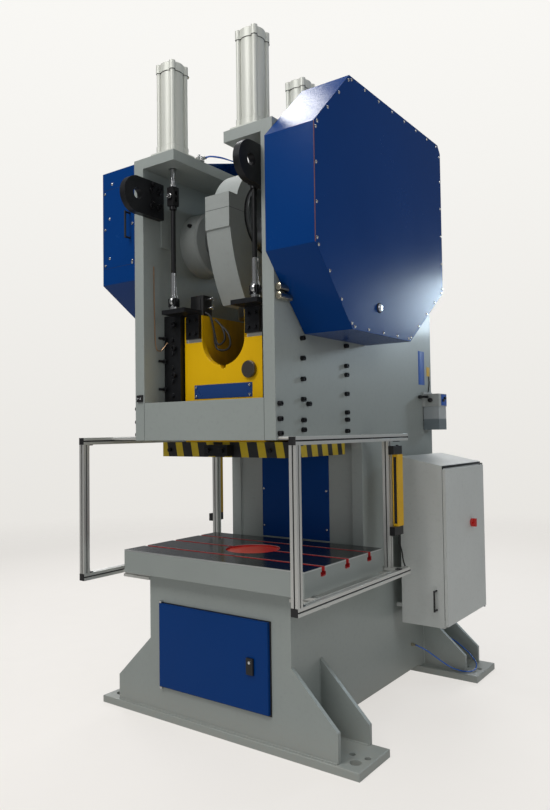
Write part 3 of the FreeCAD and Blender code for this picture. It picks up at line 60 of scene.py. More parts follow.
# %% Place the camera
EYE = Vector((2.5585, -2.9713, 1.65))
turn, nod, tilt = (math.radians(a) for a in (35.734, 2.049, -0.755))
ahead = Vector((-math.sin(turn) * math.cos(nod), math.cos(turn) * math.cos(nod), math.sin(nod)))
level = Vector((math.cos(turn), math.sin(turn), 0))
over = level.cross(ahead)
right = math.cos(tilt) * level + math.sin(tilt) * over
up = math.cos(tilt) * over - math.sin(tilt) * level

camera = bpy.data.objects.new("camera", bpy.data.cameras.new("camera"))
camera.data.sensor_fit = "VERTICAL"
camera.data.sensor_height = 36
camera.data.lens = 31.48
camera.matrix_world = Matrix.Translation(EYE) @ Matrix((right, up, -ahead)).transposed().to_4x4()
bpy.context.scene.collection.objects.link(camera)
bpy.context.scene.camera = camera
print("camera looks along", tuple(round(a, 3) for a in ahead))

# %% [markdown]
# ## Floor and light
# The machine stands in a plain pale studio. The floor fades out some metres away, so that no horizon line
# shows. Big area lights give soft shadows: the key from the front left, a fill from the right, and one above
# that draws the upper edges. The sky is bright for the eye and weaker as a light, which a Light Path node
# tells apart.

# %% Light the studio
def softbox(name, place, target, size, power, tint=(1, 1, 1)):
    """A square area light at a place, turned to face a target."""
    lamp = bpy.data.lights.new(name, "AREA")
    lamp.shape = "SQUARE"
    lamp.size = size
    lamp.energy = power
    lamp.color = tint
    holder = bpy.data.objects.new(name, lamp)
    holder.location = place
    holder.rotation_euler = (Vector(target) - Vector(place)).to_track_quat("-Z", "Y").to_euler()
    bpy.context.scene.collection.objects.link(holder)


softbox("key", (-1.0, -4.6, 6.6), (0, 0.4, 1.7), 2.6, 200, (1, 0.985, 0.96))
softbox("fill", (5.6, -0.6, 3.8), (0.5, 0.6, 1.8), 2.6, 62, (0.97, 0.985, 1))
softbox("top", (0.2, -0.6, 7.4), (0, 0.6, 2.0), 4.0, 150)
softbox("back", (2.5, 6.1, 3.3), (0.8, 1.2, 2.4), 0.7, 44, (0.72, 0.88, 1))
softbox("behind", (-1.6, 7.6, 5.2), (0, 1.2, 2.0), 3.0, 130)
softbox("left", (-5.2, 2.6, 3.6), (0, 1.0, 2.0), 2.6, 70)
softbox("low", (1.4, -5.4, 1.0), (0.1, 0.2, 1.4), 2.2, 34)
softbox("rim", (-1.28, 1.2, 5.82), (0.52, -0.15, 3.14), 0.8, 20)

studio = bpy.data.worlds.new("studio")
bpy.context.scene.world = studio
studio.use_nodes = True
sky = studio.node_tree
sky.nodes.clear()
direction = sky.nodes.new("ShaderNodeTexCoord")
height = sky.nodes.new("ShaderNodeSeparateXYZ")
rising = sky.nodes.new("ShaderNodeMapRange")
rising.inputs["From Min"].default_value = -0.25
rising.inputs["From Max"].default_value = 0.50
pale = sky.nodes.new("ShaderNodeMix")
pale.data_type = "RGBA"
pale.inputs[6].default_value = (0.78, 0.76, 0.725, 1)
pale.inputs[7].default_value = (0.945, 0.935, 0.905, 1)
shown = sky.nodes.new("ShaderNodeBackground")
lit = sky.nodes.new("ShaderNodeBackground")
lit.inputs["Color"].default_value = (0.95, 0.97, 1, 1)
lit.inputs["Strength"].default_value = 0.16
path = sky.nodes.new("ShaderNodeLightPath")
either = sky.nodes.new("ShaderNodeMixShader")
end = sky.nodes.new("ShaderNodeOutputWorld")
sky.links.new(direction.outputs["Generated"], height.inputs[0])
sky.links.new(height.outputs["Z"], rising.inputs["Value"])
sky.links.new(rising.outputs[0], pale.inputs[0])
sky.links.new(pale.outputs[2], shown.inputs["Color"])
sky.links.new(path.outputs["Is Camera Ray"], either.inputs[0])
sky.links.new(lit.outputs[0], either.inputs[1])
sky.links.new(shown.outputs[0], either.inputs[2])
sky.links.new(either.outputs[0], end.inputs[0])
bpy.context.scene.view_settings.view_transform = "Standard"
bpy.context.scene.view_settings.look = "None"

# %% [markdown]
# ## A short way to write shader maths
# A node tree is a formula drawn with boxes. Written as boxes in Python it is long and hard to read, so a small
# class stands for one wire, and `+ - * %` on it add the Math nodes. A second class is one material: its
# `node` method adds any other node, with its settings first and then the values or wires of its inputs.

# %% Wires and recipes
class Wire:
    """An output socket. Arithmetic on it adds Math nodes to the same recipe."""

    def __init__(self, recipe, socket):
        self.recipe = recipe
        self.socket = socket

    def maths(self, operation, *operands):
        return self.recipe.node("ShaderNodeMath", {"operation": operation}, dict(enumerate(operands)))

    def __add__(self, other):
        return self.maths("ADD", self, other)

    def __sub__(self, other):
        return self.maths("SUBTRACT", self, other)

    def __rsub__(self, other):
        return self.maths("SUBTRACT", other, self)

    def __mul__(self, other):
        return self.maths("MULTIPLY", self, other)

    def __abs__(self):
        return self.maths("ABSOLUTE", self)

    def __mod__(self, other):
        return self.maths("FLOORED_MODULO", self, other)

    __radd__ = __add__
    __rmul__ = __mul__

    def root(self):
        return self.maths("SQRT", self)

    def most(self, other):
        return self.maths("MAXIMUM", self, other)

    def above(self, edge, soft=0.0005):
        """0 below the edge and 1 above it, with a soft step between."""
        return self.recipe.node("ShaderNodeMapRange", {"interpolation_type": "SMOOTHSTEP"},
                                {0: self, 1: edge - soft, 2: edge + soft, 3: 0.0, 4: 1.0})

    def within(self, centre, half, soft=0.0005):
        """1 where the value is nearer to the centre than half, and 0 outside."""
        return 1 - abs(self - centre).above(half, soft)


class Recipe:
    """A material while it is being mixed."""

    def __init__(self, name):
        self.material = bpy.data.materials.new(name)
        self.material.use_nodes = True
        self.tree = self.material.node_tree
        self.tree.nodes.clear()

    def node(self, kind, settings=None, values=None, output=0):
        """Adds a node: its settings, then the values or wires of its inputs. Returns the wire of one output."""
        made = self.tree.nodes.new(kind)
        for name, setting in (settings or {}).items():
            setattr(made, name, setting)
        for name, value in (values or {}).items():
            if isinstance(value, Wire):
                self.tree.links.new(value.socket, made.inputs[name])
            else:
                made.inputs[name].default_value = value
        return Wire(self, made.outputs[output])

    def place(self):
        """The point on the object, in metres."""
        return self.node("ShaderNodeTexCoord", output="Object")

    def axes(self):
        """The point's x, y and z as three wires."""
        split = self.node("ShaderNodeSeparateXYZ", None, {0: self.place()})
        return [Wire(self, split.socket.node.outputs[i]) for i in range(3)]

    def facing(self):
        """The surface's true direction, as three wires."""
        split = self.node("ShaderNodeSeparateXYZ", None,
                          {0: self.node("ShaderNodeNewGeometry", output="True Normal")})
        return [Wire(self, split.socket.node.outputs[i]) for i in range(3)]

    def stretched(self, x, y, z):
        """The point with each axis stretched, for grain that runs one way."""
        return self.node("ShaderNodeMapping", None, {"Vector": self.place(), "Scale": (x, y, z)})

    def noise(self, scale, detail=2.0, rough=0.5, at=None):
        return self.node("ShaderNodeTexNoise", None,
                         {"Vector": at or self.place(), "Scale": scale, "Detail": detail, "Roughness": rough})

    def blend(self, share, first, second):
        """Two colours, mixed by a share from 0 to 1."""
        return self.node("ShaderNodeMix", {"data_type": "RGBA"}, {0: share, 6: first, 7: second}, output=2)

    def worn_edge(self, radius, noise):
        """1 along convex and concave edges, broken up by noise: where a rounded normal leaves the flat one."""
        rounded = self.node("ShaderNodeBevel", {"samples": 6}, {"Radius": radius})
        flat = self.node("ShaderNodeNewGeometry", output="Normal")
        agree = self.node("ShaderNodeVectorMath", {"operation": "DOT_PRODUCT"}, {0: rounded, 1: flat}, output=1)
        return (1 - agree).above(0.13, 0.10) * noise.above(0.52, 0.10)

    def relief(self, height, depth, strength=1.0, radius=0.0):
        """A Bump node for a height from 0 to 1 and a depth in metres, over softly rounded edges."""
        values = {"Height": height, "Distance": depth, "Strength": strength}
        if radius:
            values["Normal"] = self.node("ShaderNodeBevel", {"samples": 6}, {"Radius": radius})
        return self.node("ShaderNodeBump", None, values)

    def surface(self, **sockets):
        """The Principled shader with these sockets, and the material's output. Returns the material."""
        named = {name.replace("_", " "): value for name, value in sockets.items()}
        shader = self.node("ShaderNodeBsdfPrincipled", None, named)
        self.node_output(shader)
        return self.material

    def node_output(self, shader):
        end = self.tree.nodes.new("ShaderNodeOutputMaterial")
        self.tree.links.new(shader.socket, end.inputs["Surface"])


def colour(red, green, blue):
    """A colour given by its 0 to 255 screen values, as the linear numbers that shaders use."""
    return tuple((c / 255 / 12.92 if c < 10 else ((c / 255 + 0.055) / 1.055) ** 2.4)
                 for c in (red, green, blue)) + (1,)


def shade(tone, factor, lift=0.0):
    """A colour times a factor plus a lift, at most 1."""
    return tuple(min(1, c * factor + lift) for c in tone[:3]) + (1,)


print("grey", [round(c, 3) for c in colour(143, 149, 146)])

# %% [markdown]
# ## Paint on plate and casting
# Machine paint is sprayed and dries with a faint orange peel. Under the gloss the plate's mill surface shows as
# slow waves, and edges that get knocked lose their paint. So one recipe takes a colour and mixes in slow
# shade changes, a fine peel as bump, rubbed edges and some dust low down. Thick plates get the grey satin
# version and castings the same grey over a coarser skin.

# %% Sprayed paints
def sprayed(name, tone, rough, peel, grain, coat=0.0, dusty=0.0, chipped=0.6, edge=0.003, flecks=0.25,
            gloss=0.5):
    """Sprayed paint: slow shade changes, orange peel of that grain per metre, rubbed edges, dust near the floor."""
    mix = Recipe(name)
    x, y, z = mix.axes()
    slow = mix.noise(2.2, 3, 0.55)
    fine = mix.noise(38, 4, 0.6)
    skin = mix.noise(grain, 2, 0.5)
    tint = mix.blend(slow, shade(tone, 0.93), shade(tone, 1.07))
    tint = mix.blend(fine.above(0.62, 0.12) * flecks, tint, shade(tone, 0.78))
    worn = mix.worn_edge(edge, fine) * chipped
    tint = mix.blend(worn, tint, shade(tone, 1.6, 0.05))
    low = (1 - z.above(0.12, 0.12)) * fine.above(0.45, 0.25) * dusty
    tint = mix.blend(low, tint, colour(168, 163, 152))
    shine = slow * 0.10 + fine * 0.10 + worn * 0.15 + (rough - 0.10)
    return mix.surface(Base_Color=tint, Roughness=shine, Coat_Weight=coat, Coat_Roughness=0.12,
                       Specular_IOR_Level=gloss, Normal=mix.relief(skin + slow * 1.5, peel, 0.5, edge))


GREY = colour(150, 157, 154)
BLUE = colour(3, 55, 119)
YELLOW = colour(226, 178, 8)
plate_paint = sprayed("satin_grey_plate", GREY, 0.42, 0.0006, 210, coat=0.15, dusty=0.35)
cast_paint = sprayed("satin_grey_casting", colour(152, 157, 155), 0.46, 0.0012, 120, coat=0.12)
blue_paint = sprayed("blue_gloss_sheet", BLUE, 0.24, 0.0005, 190, coat=0.04, chipped=0.12, flecks=0.04, gloss=0.10)
yellow_paint = sprayed("yellow_gloss_casting", YELLOW, 0.34, 0.0008, 150, coat=0.5, chipped=0.4)
cabinet_paint = sprayed("light_textured_cabinet", colour(202, 205, 202), 0.50, 0.0007, 700, chipped=0.2)
motor_paint = sprayed("blue_grey_motor", colour(74, 88, 98), 0.42, 0.0008, 200)
pump_paint = sprayed("light_grey_pump", colour(172, 175, 172), 0.36, 0.0004, 300, coat=0.2)
print("paints mixed")

# %% [markdown]
# ## Bare and treated metal
# Turned and ground parts keep fine lines along the cut, plated parts are smoother and brighter, and black oxide
# is dark with a low oily shine. Each recipe stretches its noise one way for the lines and changes roughness
# with them, because a machined face shows its tool marks mainly in its highlights.

# %% Metals
def machined(name, tone, rough, lines=(6, 400, 400), depth=0.00012, spots=0.0, edge=0.0012):
    """Bare metal with tool lines: noise stretched by three numbers, which darkens, roughens and raises it."""
    mix = Recipe(name)
    cut = mix.noise(1, 3, 0.6, mix.stretched(*lines))
    slow = mix.noise(14, 3, 0.6)
    tint = mix.blend(cut, shade(tone, 0.80), shade(tone, 1.12))
    tint = mix.blend(slow.above(0.6, 0.1) * spots, tint, colour(92, 78, 60))
    return mix.surface(Base_Color=tint, Metallic=1.0, Roughness=cut * 0.16 + slow * 0.10 + (rough - 0.12),
                       Normal=mix.relief(cut, depth, 0.6, edge))


def oxide(name, tone=(30, 31, 34), rough=0.40):
    """Black oxide on steel: nearly black, a little uneven, with an oily shine and bright rubbed edges."""
    mix = Recipe(name)
    cloud = mix.noise(45, 4, 0.65)
    base = colour(*tone)
    tint = mix.blend(cloud, shade(base, 0.6), shade(base, 1.8))
    worn = mix.worn_edge(0.0016, cloud) * 0.5
    tint = mix.blend(worn, tint, colour(120, 120, 122))
    return mix.surface(Base_Color=tint, Metallic=0.55, Roughness=cloud * 0.22 + (rough - 0.11),
                       Normal=mix.relief(mix.noise(320, 2), 0.0003, 0.5, 0.0012))


turned_steel = machined("turned_steel", colour(168, 170, 172), 0.30)
plated_steel = machined("plated_steel", colour(208, 209, 210), 0.20, (300, 300, 12), 0.00005)
gear_steel = machined("gear_steel", colour(120, 122, 124), 0.38, (8, 260, 260), spots=0.25)
cast_iron = machined("machined_iron", colour(96, 98, 100), 0.42, (10, 200, 200), spots=0.2)
nickel = machined("nickel_brass", colour(206, 198, 176), 0.22, (350, 350, 350), 0.00004)
black_oxide = oxide("black_oxide")
screw_black = oxide("black_screws", (26, 26, 29), 0.34)
dark_brushed = machined("dark_brushed_cap", colour(118, 112, 104), 0.34, (700, 20, 700), 0.00006)
print("metals mixed")

# %% [markdown]
# ## Anodised aluminium
# The guard bars are drawn aluminium profile: silver, satin, with faint lines along the bar. The air cylinders
# are pressed profile too, with a warmer, more even coat. Bars run in more than one direction, so the lines
# are a mix of two stretched noises.

# %% Aluminium
def anodised(name, tone, rough, warm, metal=0.82, joints=()):
    """Satin aluminium: two noises, drawn out along z and along x, mixed half and half, with a slow tint towards
    a warmer tone. At each joint's height runs a thin dark line."""
    mix = Recipe(name)
    upright = mix.noise(1, 2, 0.5, mix.stretched(420, 420, 5))
    drawn = upright * 0.5 + mix.noise(1, 2, 0.5, mix.stretched(5, 420, 420)) * 0.5
    slow = mix.noise(5, 2)
    tint = mix.blend(slow * 0.6, tone, warm)
    tint = mix.blend(drawn.above(0.5, 0.2) * 0.20, tint, shade(tone, 0.7))
    for level in joints:
        tint = mix.blend(mix.axes()[2].within(level, 0.0011, 0.0003), tint, colour(46, 46, 44))
    return mix.surface(Base_Color=tint, Metallic=metal, Roughness=drawn * 0.12 + slow * 0.08 + (rough - 0.1),
                       Normal=mix.relief(drawn, 0.00008, 0.5, 0.0012))


CAP_JOINTS = (3.305, 3.738)
bar_aluminium = anodised("anodised_bars", colour(218, 219, 216), 0.38, colour(206, 206, 200), 0.7)
cylinder_coat = anodised("anodised_cylinder", colour(212, 214, 207), 0.44, colour(202, 204, 195), 0.12,
                         CAP_JOINTS)
print("aluminium mixed")

# %% [markdown]
# ## Plastics, rubber and glass
# Moulded plastic is even in colour, so nearly all its look is in the roughness: a fine spark texture on
# handles and housings, smooth on the tank and tubes. The tank is smoky and lets light through. Up to the
# oil's level it is darker and denser, which the alpha and the tone suggest.

# %% Plastics
def moulded(name, tone, rough, grain=900, depth=0.0002, coat=0.0):
    """Moulded plastic: an even colour, slightly cloudy, over a fine texture."""
    mix = Recipe(name)
    cloud = mix.noise(25, 3)
    tint = mix.blend(cloud, shade(tone, 0.88), shade(tone, 1.12))
    return mix.surface(Base_Color=tint, Roughness=cloud * 0.12 + (rough - 0.06), Coat_Weight=coat,
                       Normal=mix.relief(mix.noise(grain, 2), depth, 0.5, 0.001))


black_plastic = moulded("black_plastic", colour(24, 24, 26), 0.42)
black_rubber = moulded("black_rubber", colour(20, 20, 21), 0.62, 600)
red_plastic = moulded("red_plastic", colour(196, 28, 22), 0.28, coat=0.4)
blue_tube = moulded("blue_tube", colour(20, 92, 190), 0.22, 60, 0.00005, coat=0.5)
curtain_yellow = moulded("curtain_yellow", colour(222, 176, 12), 0.36, 500, coat=0.2)
white_plastic = moulded("white_plastic", colour(214, 212, 204), 0.36)


def clear_tank(name):
    """A smoky clear tank: see-through above the oil level, a little darker and denser below it."""
    mix = Recipe(name)
    x, y, z = mix.axes()
    oil = 1 - z.above(1.715, 0.002)
    tint = mix.blend(oil, colour(196, 202, 204), colour(128, 138, 142))
    return mix.surface(Base_Color=tint, Roughness=mix.noise(30) * 0.06 + 0.08, Alpha=oil * 0.30 + 0.55, IOR=1.46,
                       Normal=mix.relief(mix.noise(60), 0.0003, 0.4))


tank = clear_tank("clear_tank")
print("plastics mixed")


# %% Tie rods
def rod_finish():
    """A tie rod by height: bright rod end, dark rod, black fork, and a bright piston rod above it."""
    mix = Recipe("tie_rod")
    x, y, z = mix.axes()
    drawn = mix.noise(1, 3, 0.6, mix.stretched(300, 300, 8))
    dark = z.within(2.82, 0.252)
    fork = z.within(3.017, 0.056)
    steel = mix.blend(drawn, colour(150, 152, 154), colour(206, 207, 208))
    black = mix.blend(drawn, colour(22, 22, 24), colour(44, 44, 46))
    tint = mix.blend(dark.most(fork), steel, black)
    return mix.surface(Base_Color=tint, Metallic=0.9 - dark * 0.4, Roughness=drawn * 0.14 + dark * 0.12 + 0.18,
                       Normal=mix.relief(drawn, 0.00008, 0.5, 0.001))


tie_rod = rod_finish()
print("tie rods mixed")

# %% [markdown]
# ## Finishes with a pattern
# Four parts carry more than one finish. On the table the top is ground and the sides are
# painted, with red paint in the slots. The tool plate has slanted warning stripes on its edges and a bright
# machined underside. The slide's pocket has painted shade, brownish yellow and streaked, towards its back. A
# light curtain is a yellow bar with a dark window in front. In each the recipe works out masks from the point's
# place and from the way the surface faces.

# %% Table
TABLE_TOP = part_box("table_plate")[1].z
SLOTS = (0.100, 0.345, 0.590)


def table_finish():
    """Ground steel where the surface faces up at the top, grey paint on the sides, red inside the slots."""
    mix = Recipe("ground_table")
    x, y, z = mix.axes()
    faces = mix.facing()
    top = z.above(TABLE_TOP - 0.0006, 0.0003) * faces[2].above(0.7, 0.1)
    inside = 1 - z.above(TABLE_TOP - 0.0016, 0.0008)
    slot = None
    for middle in SLOTS:
        neck = y.within(middle, 0.0150) * z.above(TABLE_TOP - 0.050)
        foot = y.within(middle, 0.0250) * z.above(TABLE_TOP - 0.0475) * (1 - z.above(TABLE_TOP - 0.0245))
        slot = neck.most(foot) if slot is None else slot.most(neck).most(foot)
    from_middle = (x * x + (y - 0.345) * (y - 0.345)).root()
    ring = (1 - from_middle.above(0.165)) * inside
    chamfer = z.above(TABLE_TOP - 0.0075, 0.0004) * inside * (1 - slot) * (1 - ring)
    red = slot.most(ring) * (1 - z.above(TABLE_TOP - 0.0010, 0.0004))
    ground = mix.noise(1, 3, 0.6, mix.stretched(7, 520, 520))
    stain = mix.noise(7, 4, 0.65)
    steel = mix.blend(ground, colour(70, 72, 74), colour(112, 114, 116))
    steel = mix.blend(stain.above(0.58, 0.12) * 0.45, steel, colour(60, 58, 54))
    paint = mix.blend(mix.noise(3), colour(140, 147, 144), colour(154, 160, 157))
    side = mix.blend(red, paint, mix.blend(mix.noise(40), colour(158, 34, 38), colour(190, 48, 50)))
    tint = mix.blend(top, mix.blend(chamfer, side, colour(196, 198, 198)), steel)
    shine = top * (ground * 0.18 + stain * 0.14 + 0.06) + (1 - top) * 0.40
    bump = mix.noise(210, 2) * (1 - top) + ground * top * 0.25
    return mix.surface(Base_Color=tint, Metallic=top.most(chamfer) * 0.95, Roughness=shine,
                       Normal=mix.relief(bump, 0.0005, 0.5, 0.003))


ground_table = table_finish()
print("table top at", round(TABLE_TOP, 3))

# %% Warning stripes
TOOL_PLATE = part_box("slide_plate")
FRONT_PITCH, END_PITCH = 0.1199, 0.108
LEAN = 0.19


def stripes_finish():
    """Slanted stripes: a saw of x + 0.19 z on the front and of y + 0.19 z on the ends, with plain paint above
    and steel below."""
    mix = Recipe("warning_stripes")
    x, y, z = mix.axes()
    faces = mix.facing()
    ends = abs(faces[0]).above(0.7, 0.1)
    lean = (z - TOOL_PLATE[0].z) * LEAN
    front = ((x + lean + 10 * FRONT_PITCH - 0.017) % FRONT_PITCH).above(FRONT_PITCH * 0.43, 0.0006)
    side = ((y + lean + 10 * END_PITCH - 0.182) % END_PITCH).above(END_PITCH * 0.55, 0.0006)
    band = side * ends + front * (1 - ends)
    scuff = mix.noise(30, 4, 0.6)
    yellow = mix.blend(scuff, colour(176, 152, 24), colour(198, 172, 32))
    black = mix.blend(scuff, colour(20, 20, 22), colour(38, 38, 38))
    tint = mix.blend(band, yellow, black)
    above = faces[2].above(0.7, 0.1)
    tint = mix.blend(above, tint, colour(132, 136, 132))
    under = 1 - faces[2].above(-0.7, 0.1)
    steel = mix.blend(mix.noise(1, 3, 0.6, mix.stretched(8, 500, 500)), colour(104, 104, 104), colour(148, 148, 146))
    return mix.surface(Base_Color=mix.blend(under, tint, steel), Metallic=under * 0.9, Roughness=scuff * 0.2 + 0.30,
                       Normal=mix.relief(mix.noise(190, 2), 0.0006, 0.5, 0.002))


warning_stripes = stripes_finish()
print("stripes at", FRONT_PITCH, "and", END_PITCH)

# %% Slide
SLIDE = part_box("slide_body")


def slide_finish():
    """Yellow gloss paint with painted shade, brownish and streaked, towards the back of the pocket, and bright seats
    high on the front.
    """
    mix = Recipe("yellow_slide")
    x, y, z = mix.axes()
    faces = mix.facing()
    # Painted shade: deep in the pocket the yellow turns brownish, broken by vertical streaks.
    deep = (y - (SLIDE[0].y + 0.03)).above(0.10, 0.12) * abs(x).within(0, 0.17, 0.004)
    runs = mix.noise(1, 4, 0.6, mix.stretched(30, 30, 4))
    tint = mix.blend(mix.noise(3, 3), colour(224, 174, 0), colour(240, 192, 2))
    tint = mix.blend(deep * (runs * 0.5 + 0.5), tint, colour(120, 92, 30))
    tint = mix.blend(mix.worn_edge(0.003, mix.noise(38, 4)) * 0.3, tint, colour(240, 214, 120))
    seat = z.above(2.160, 0.002) * abs(x).above(0.165, 0.002) * (1 - y.above(SLIDE[0].y + 0.0112, 0.0004))
    seat = seat * y.above(SLIDE[0].y + 0.0006, 0.0003)
    tint = mix.blend(seat, tint, colour(206, 206, 200))
    return mix.surface(Base_Color=tint, Metallic=seat * 0.4, Roughness=runs * 0.15 + 0.24, Coat_Weight=0.1,
                       Coat_Roughness=0.12, Specular_IOR_Level=0.3,
                       Normal=mix.relief(mix.noise(150, 2), 0.0007, 0.5, 0.003))


yellow_slide = slide_finish()
hole_red = sprayed("red_orange_cover", colour(226, 56, 20), 0.34, 0.0004, 200, coat=0.4)
plain_label = sprayed("plain_blue_label", colour(18, 62, 126), 0.30, 0.0001, 500, coat=0.3, chipped=0.2)
print("slide and labels mixed")

# %% Light curtains
CURTAIN_X, CURTAIN_Z = 0.694, 1.29


def curtain_finish():
    """Yellow between the end brackets, with a smooth black window where the surface faces the front."""
    mix = Recipe("curtain_bar")
    x, y, z = mix.axes()
    front = 1 - mix.facing()[1].above(-0.7, 0.1)
    window = abs(x).within(CURTAIN_X, 0.0095) * front * z.within(CURTAIN_Z, 0.195)
    bracket = 1 - z.within(CURTAIN_Z, 0.2095)
    cloud = mix.noise(25, 3)
    tint = mix.blend(cloud, colour(214, 164, 4), colour(232, 184, 14))
    tint = mix.blend(window.most(bracket), tint, colour(22, 22, 24))
    return mix.surface(Base_Color=tint, Roughness=cloud * 0.1 + 0.32 - window * 0.2,
                       Normal=mix.relief(mix.noise(500), 0.0002, 0.4, 0.001))


curtain_bar = curtain_finish()
print("curtains mixed")

# %% [markdown]
# ## Which part gets which finish
# A part from the CAD model has one material slot. The list below names, for each finish, its parts, and the
# loop puts the finish into every slot of each part's mesh. A part left out would show up in the last line.

# %% Dress the parts
FINISHES = {
    plate_paint: "side_plate_left side_plate_right front_plate front_foot rear_foot foot_gussets throat_wall "
                 "head_cross_plate top_plate back_plate",
    cast_paint: "conrod_body conrod_cap frame_bearings",
    ground_table: "table_plate",
    hole_red: "drop_cover",
    blue_paint: "throat_panel gear_cover gear_cover_panel flywheel_cover lower_door",
    plain_label: "slide_label",
    yellow_slide: "slide_body",
    warning_stripes: "slide_plate",
    black_oxide: "lifting_lugs rod_bracket_left rod_bracket_right shank_clamp gibs",
    screw_black: "frame_screws",
    dark_brushed: "adjuster_disc",
    turned_steel: "crankshaft pinion_shaft ball_screw conrod_bolts",
    gear_steel: "bull_gear",
    tie_rod: "tie_rod_left tie_rod_right tie_rod_rear",
    plated_steel: "cover_screws hinge_pins",
    black_plastic: "bow_handles door_lock pump_handle",
    cast_iron: "flywheel motor_pulley",
    motor_paint: "motor",
    black_rubber: "drive_belts",
    cylinder_coat: "cylinder_left cylinder_right cylinder_rear",
    bar_aluminium: "guard_frame_left guard_frame_right",
    cabinet_paint: "cabinet_box cabinet_door",
    red_plastic: "main_switch",
    pump_paint: "lubricator_body",
    tank: "lubricator_reservoir",
    curtain_bar: "light_curtains",
    nickel: "hose_fittings",
}
dressed = set()
for finish, names in FINISHES.items():
    for name in names.split():
        for place in nodes[name].material_slots:
            place.material = finish
        dressed.add(name)
print("still bare:", sorted(set(nodes) - dressed))

# %% [markdown]
# ## Surfaces from formulas
# Every added part is a surface: a grid of points worked out for two parameters at once, such as the angle
# round a shaft and the place along it. One function turns such a grid into a mesh. It can join the last column
# to the first, as round a tube, and close each end with a fan. Small parts of one kind go into one mesh, so
# a bolt pattern costs one object.

# %% Grid to mesh
def grid_faces(rows, columns, close_columns, close_rows, start):
    """Quads of a grid: each point joined to its right and upper neighbours, wrapping where the grid is closed."""
    i = np.arange(rows if close_rows else rows - 1)[:, None]
    j = np.arange(columns if close_columns else columns - 1)[None, :]
    far_i, far_j = (i + 1) % rows, (j + 1) % columns
    corners = (i * columns + j, i * columns + far_j, far_i * columns + far_j, far_i * columns + j)
    return np.stack([c + np.zeros_like(i + j) for c in corners], -1).reshape(-1, 4) + start


def surface(name, grids, close_columns=False, close_rows=False, caps=False):
    """One mesh from a grid, or from a list of grids, of points (rows, columns, 3). Caps close both end rows."""
    grids = [grids] if isinstance(grids, np.ndarray) else grids
    faces, points, start = [], [], 0
    for grid in grids:
        rows, columns = grid.shape[:2]
        faces += grid_faces(rows, columns, close_columns, close_rows, start).tolist()
        points.append(grid.reshape(-1, 3))
        if caps:
            faces.append((np.arange(columns)[::-1] + start).tolist())
            faces.append((np.arange(columns) + start + (rows - 1) * columns).tolist())
        start += rows * columns
    mesh = bpy.data.meshes.new(name)
    mesh.from_pydata(np.concatenate(points).tolist(), [], faces)
    mesh.validate()
    tidy = bmesh.new()
    tidy.from_mesh(mesh)
    bmesh.ops.remove_doubles(tidy, verts=tidy.verts, dist=1e-6)
    bmesh.ops.recalc_face_normals(tidy, faces=tidy.faces)
    tidy.to_mesh(mesh)
    tidy.free()
    mesh.shade_smooth()
    mesh.set_sharp_from_angle(angle=math.radians(35))
    piece = bpy.data.objects.new(name, mesh)
    bpy.context.scene.collection.objects.link(piece)
    return piece


def fitted(piece, finish, body="frame"):
    """Gives a piece its finish and the body that it rides on."""
    piece.data.materials.clear()
    piece.data.materials.append(finish)
    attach(piece, body)
    return piece


print("mesh helper ready")

# %% [markdown]
# Three families of grid cover nearly all small parts. A turned part is a radius that changes along an axis. A
# pressed or cut block is a rounded rectangle that shrinks a little at its two faces. A tube or seam is a small
# section carried along a smooth path.

# %% Turned grids
AXES = {"X": (1, 2, 0), "Y": (2, 0, 1), "Z": (0, 1, 2)}


def turned(axis, centre, profile, sides=24, flats=0):
    """Points at angle a and station s: centre, plus along[s] on the axis, plus radius[s] in the direction a.
    With flats, each radius reaches the side of a regular polygon: radius times cos(pi/n) over cos(a's offset)."""
    along, radius = np.array(profile, float).T
    angle = np.linspace(0, 2 * np.pi, sides, endpoint=False)
    shape = np.ones(sides)
    if flats:
        part = 2 * np.pi / flats
        shape = np.cos(part / 2) / np.cos((angle + part / 2) % part - part / 2)
    u, v, w = AXES[axis]
    points = np.zeros((len(along), sides, 3))
    points[..., u] = centre[u] + radius[:, None] * (shape * np.cos(angle))[None, :]
    points[..., v] = centre[v] + radius[:, None] * (shape * np.sin(angle))[None, :]
    points[..., w] = centre[w] + along[:, None]
    return points


# %% Rounded blocks
def block(low, high, axis="Z", corner=0.002, bevel=0.0006, turns=3):
    """A rounded rectangle across an axis: corner arcs of one radius, at four stations along the axis, where the
    outline shrinks by the bevel at both faces."""
    low, high = np.array(low, float), np.array(high, float)
    u, v, w = AXES[axis]
    corner = min(corner, 0.499 * (high[u] - low[u]), 0.499 * (high[v] - low[v]))
    arc = np.linspace(0, np.pi / 2, turns + 1)
    angle = np.concatenate([arc + k * np.pi / 2 for k in range(4)])
    side_u = np.repeat((1, -1, -1, 1), turns + 1)
    side_v = np.repeat((1, 1, -1, -1), turns + 1)
    middle, half = (low + high) / 2, (high - low) / 2
    shrink = np.array((bevel, 0, 0, bevel))
    reach = np.array((low[w], low[w] + bevel, high[w] - bevel, high[w]))
    points = np.zeros((4, len(angle), 3))
    points[..., u] = middle[u] + side_u * (half[u] - corner) + (corner - shrink[:, None]) * np.cos(angle)
    points[..., v] = middle[v] + side_v * (half[v] - corner) + (corner - shrink[:, None]) * np.sin(angle)
    points[..., w] = reach[:, None]
    return points


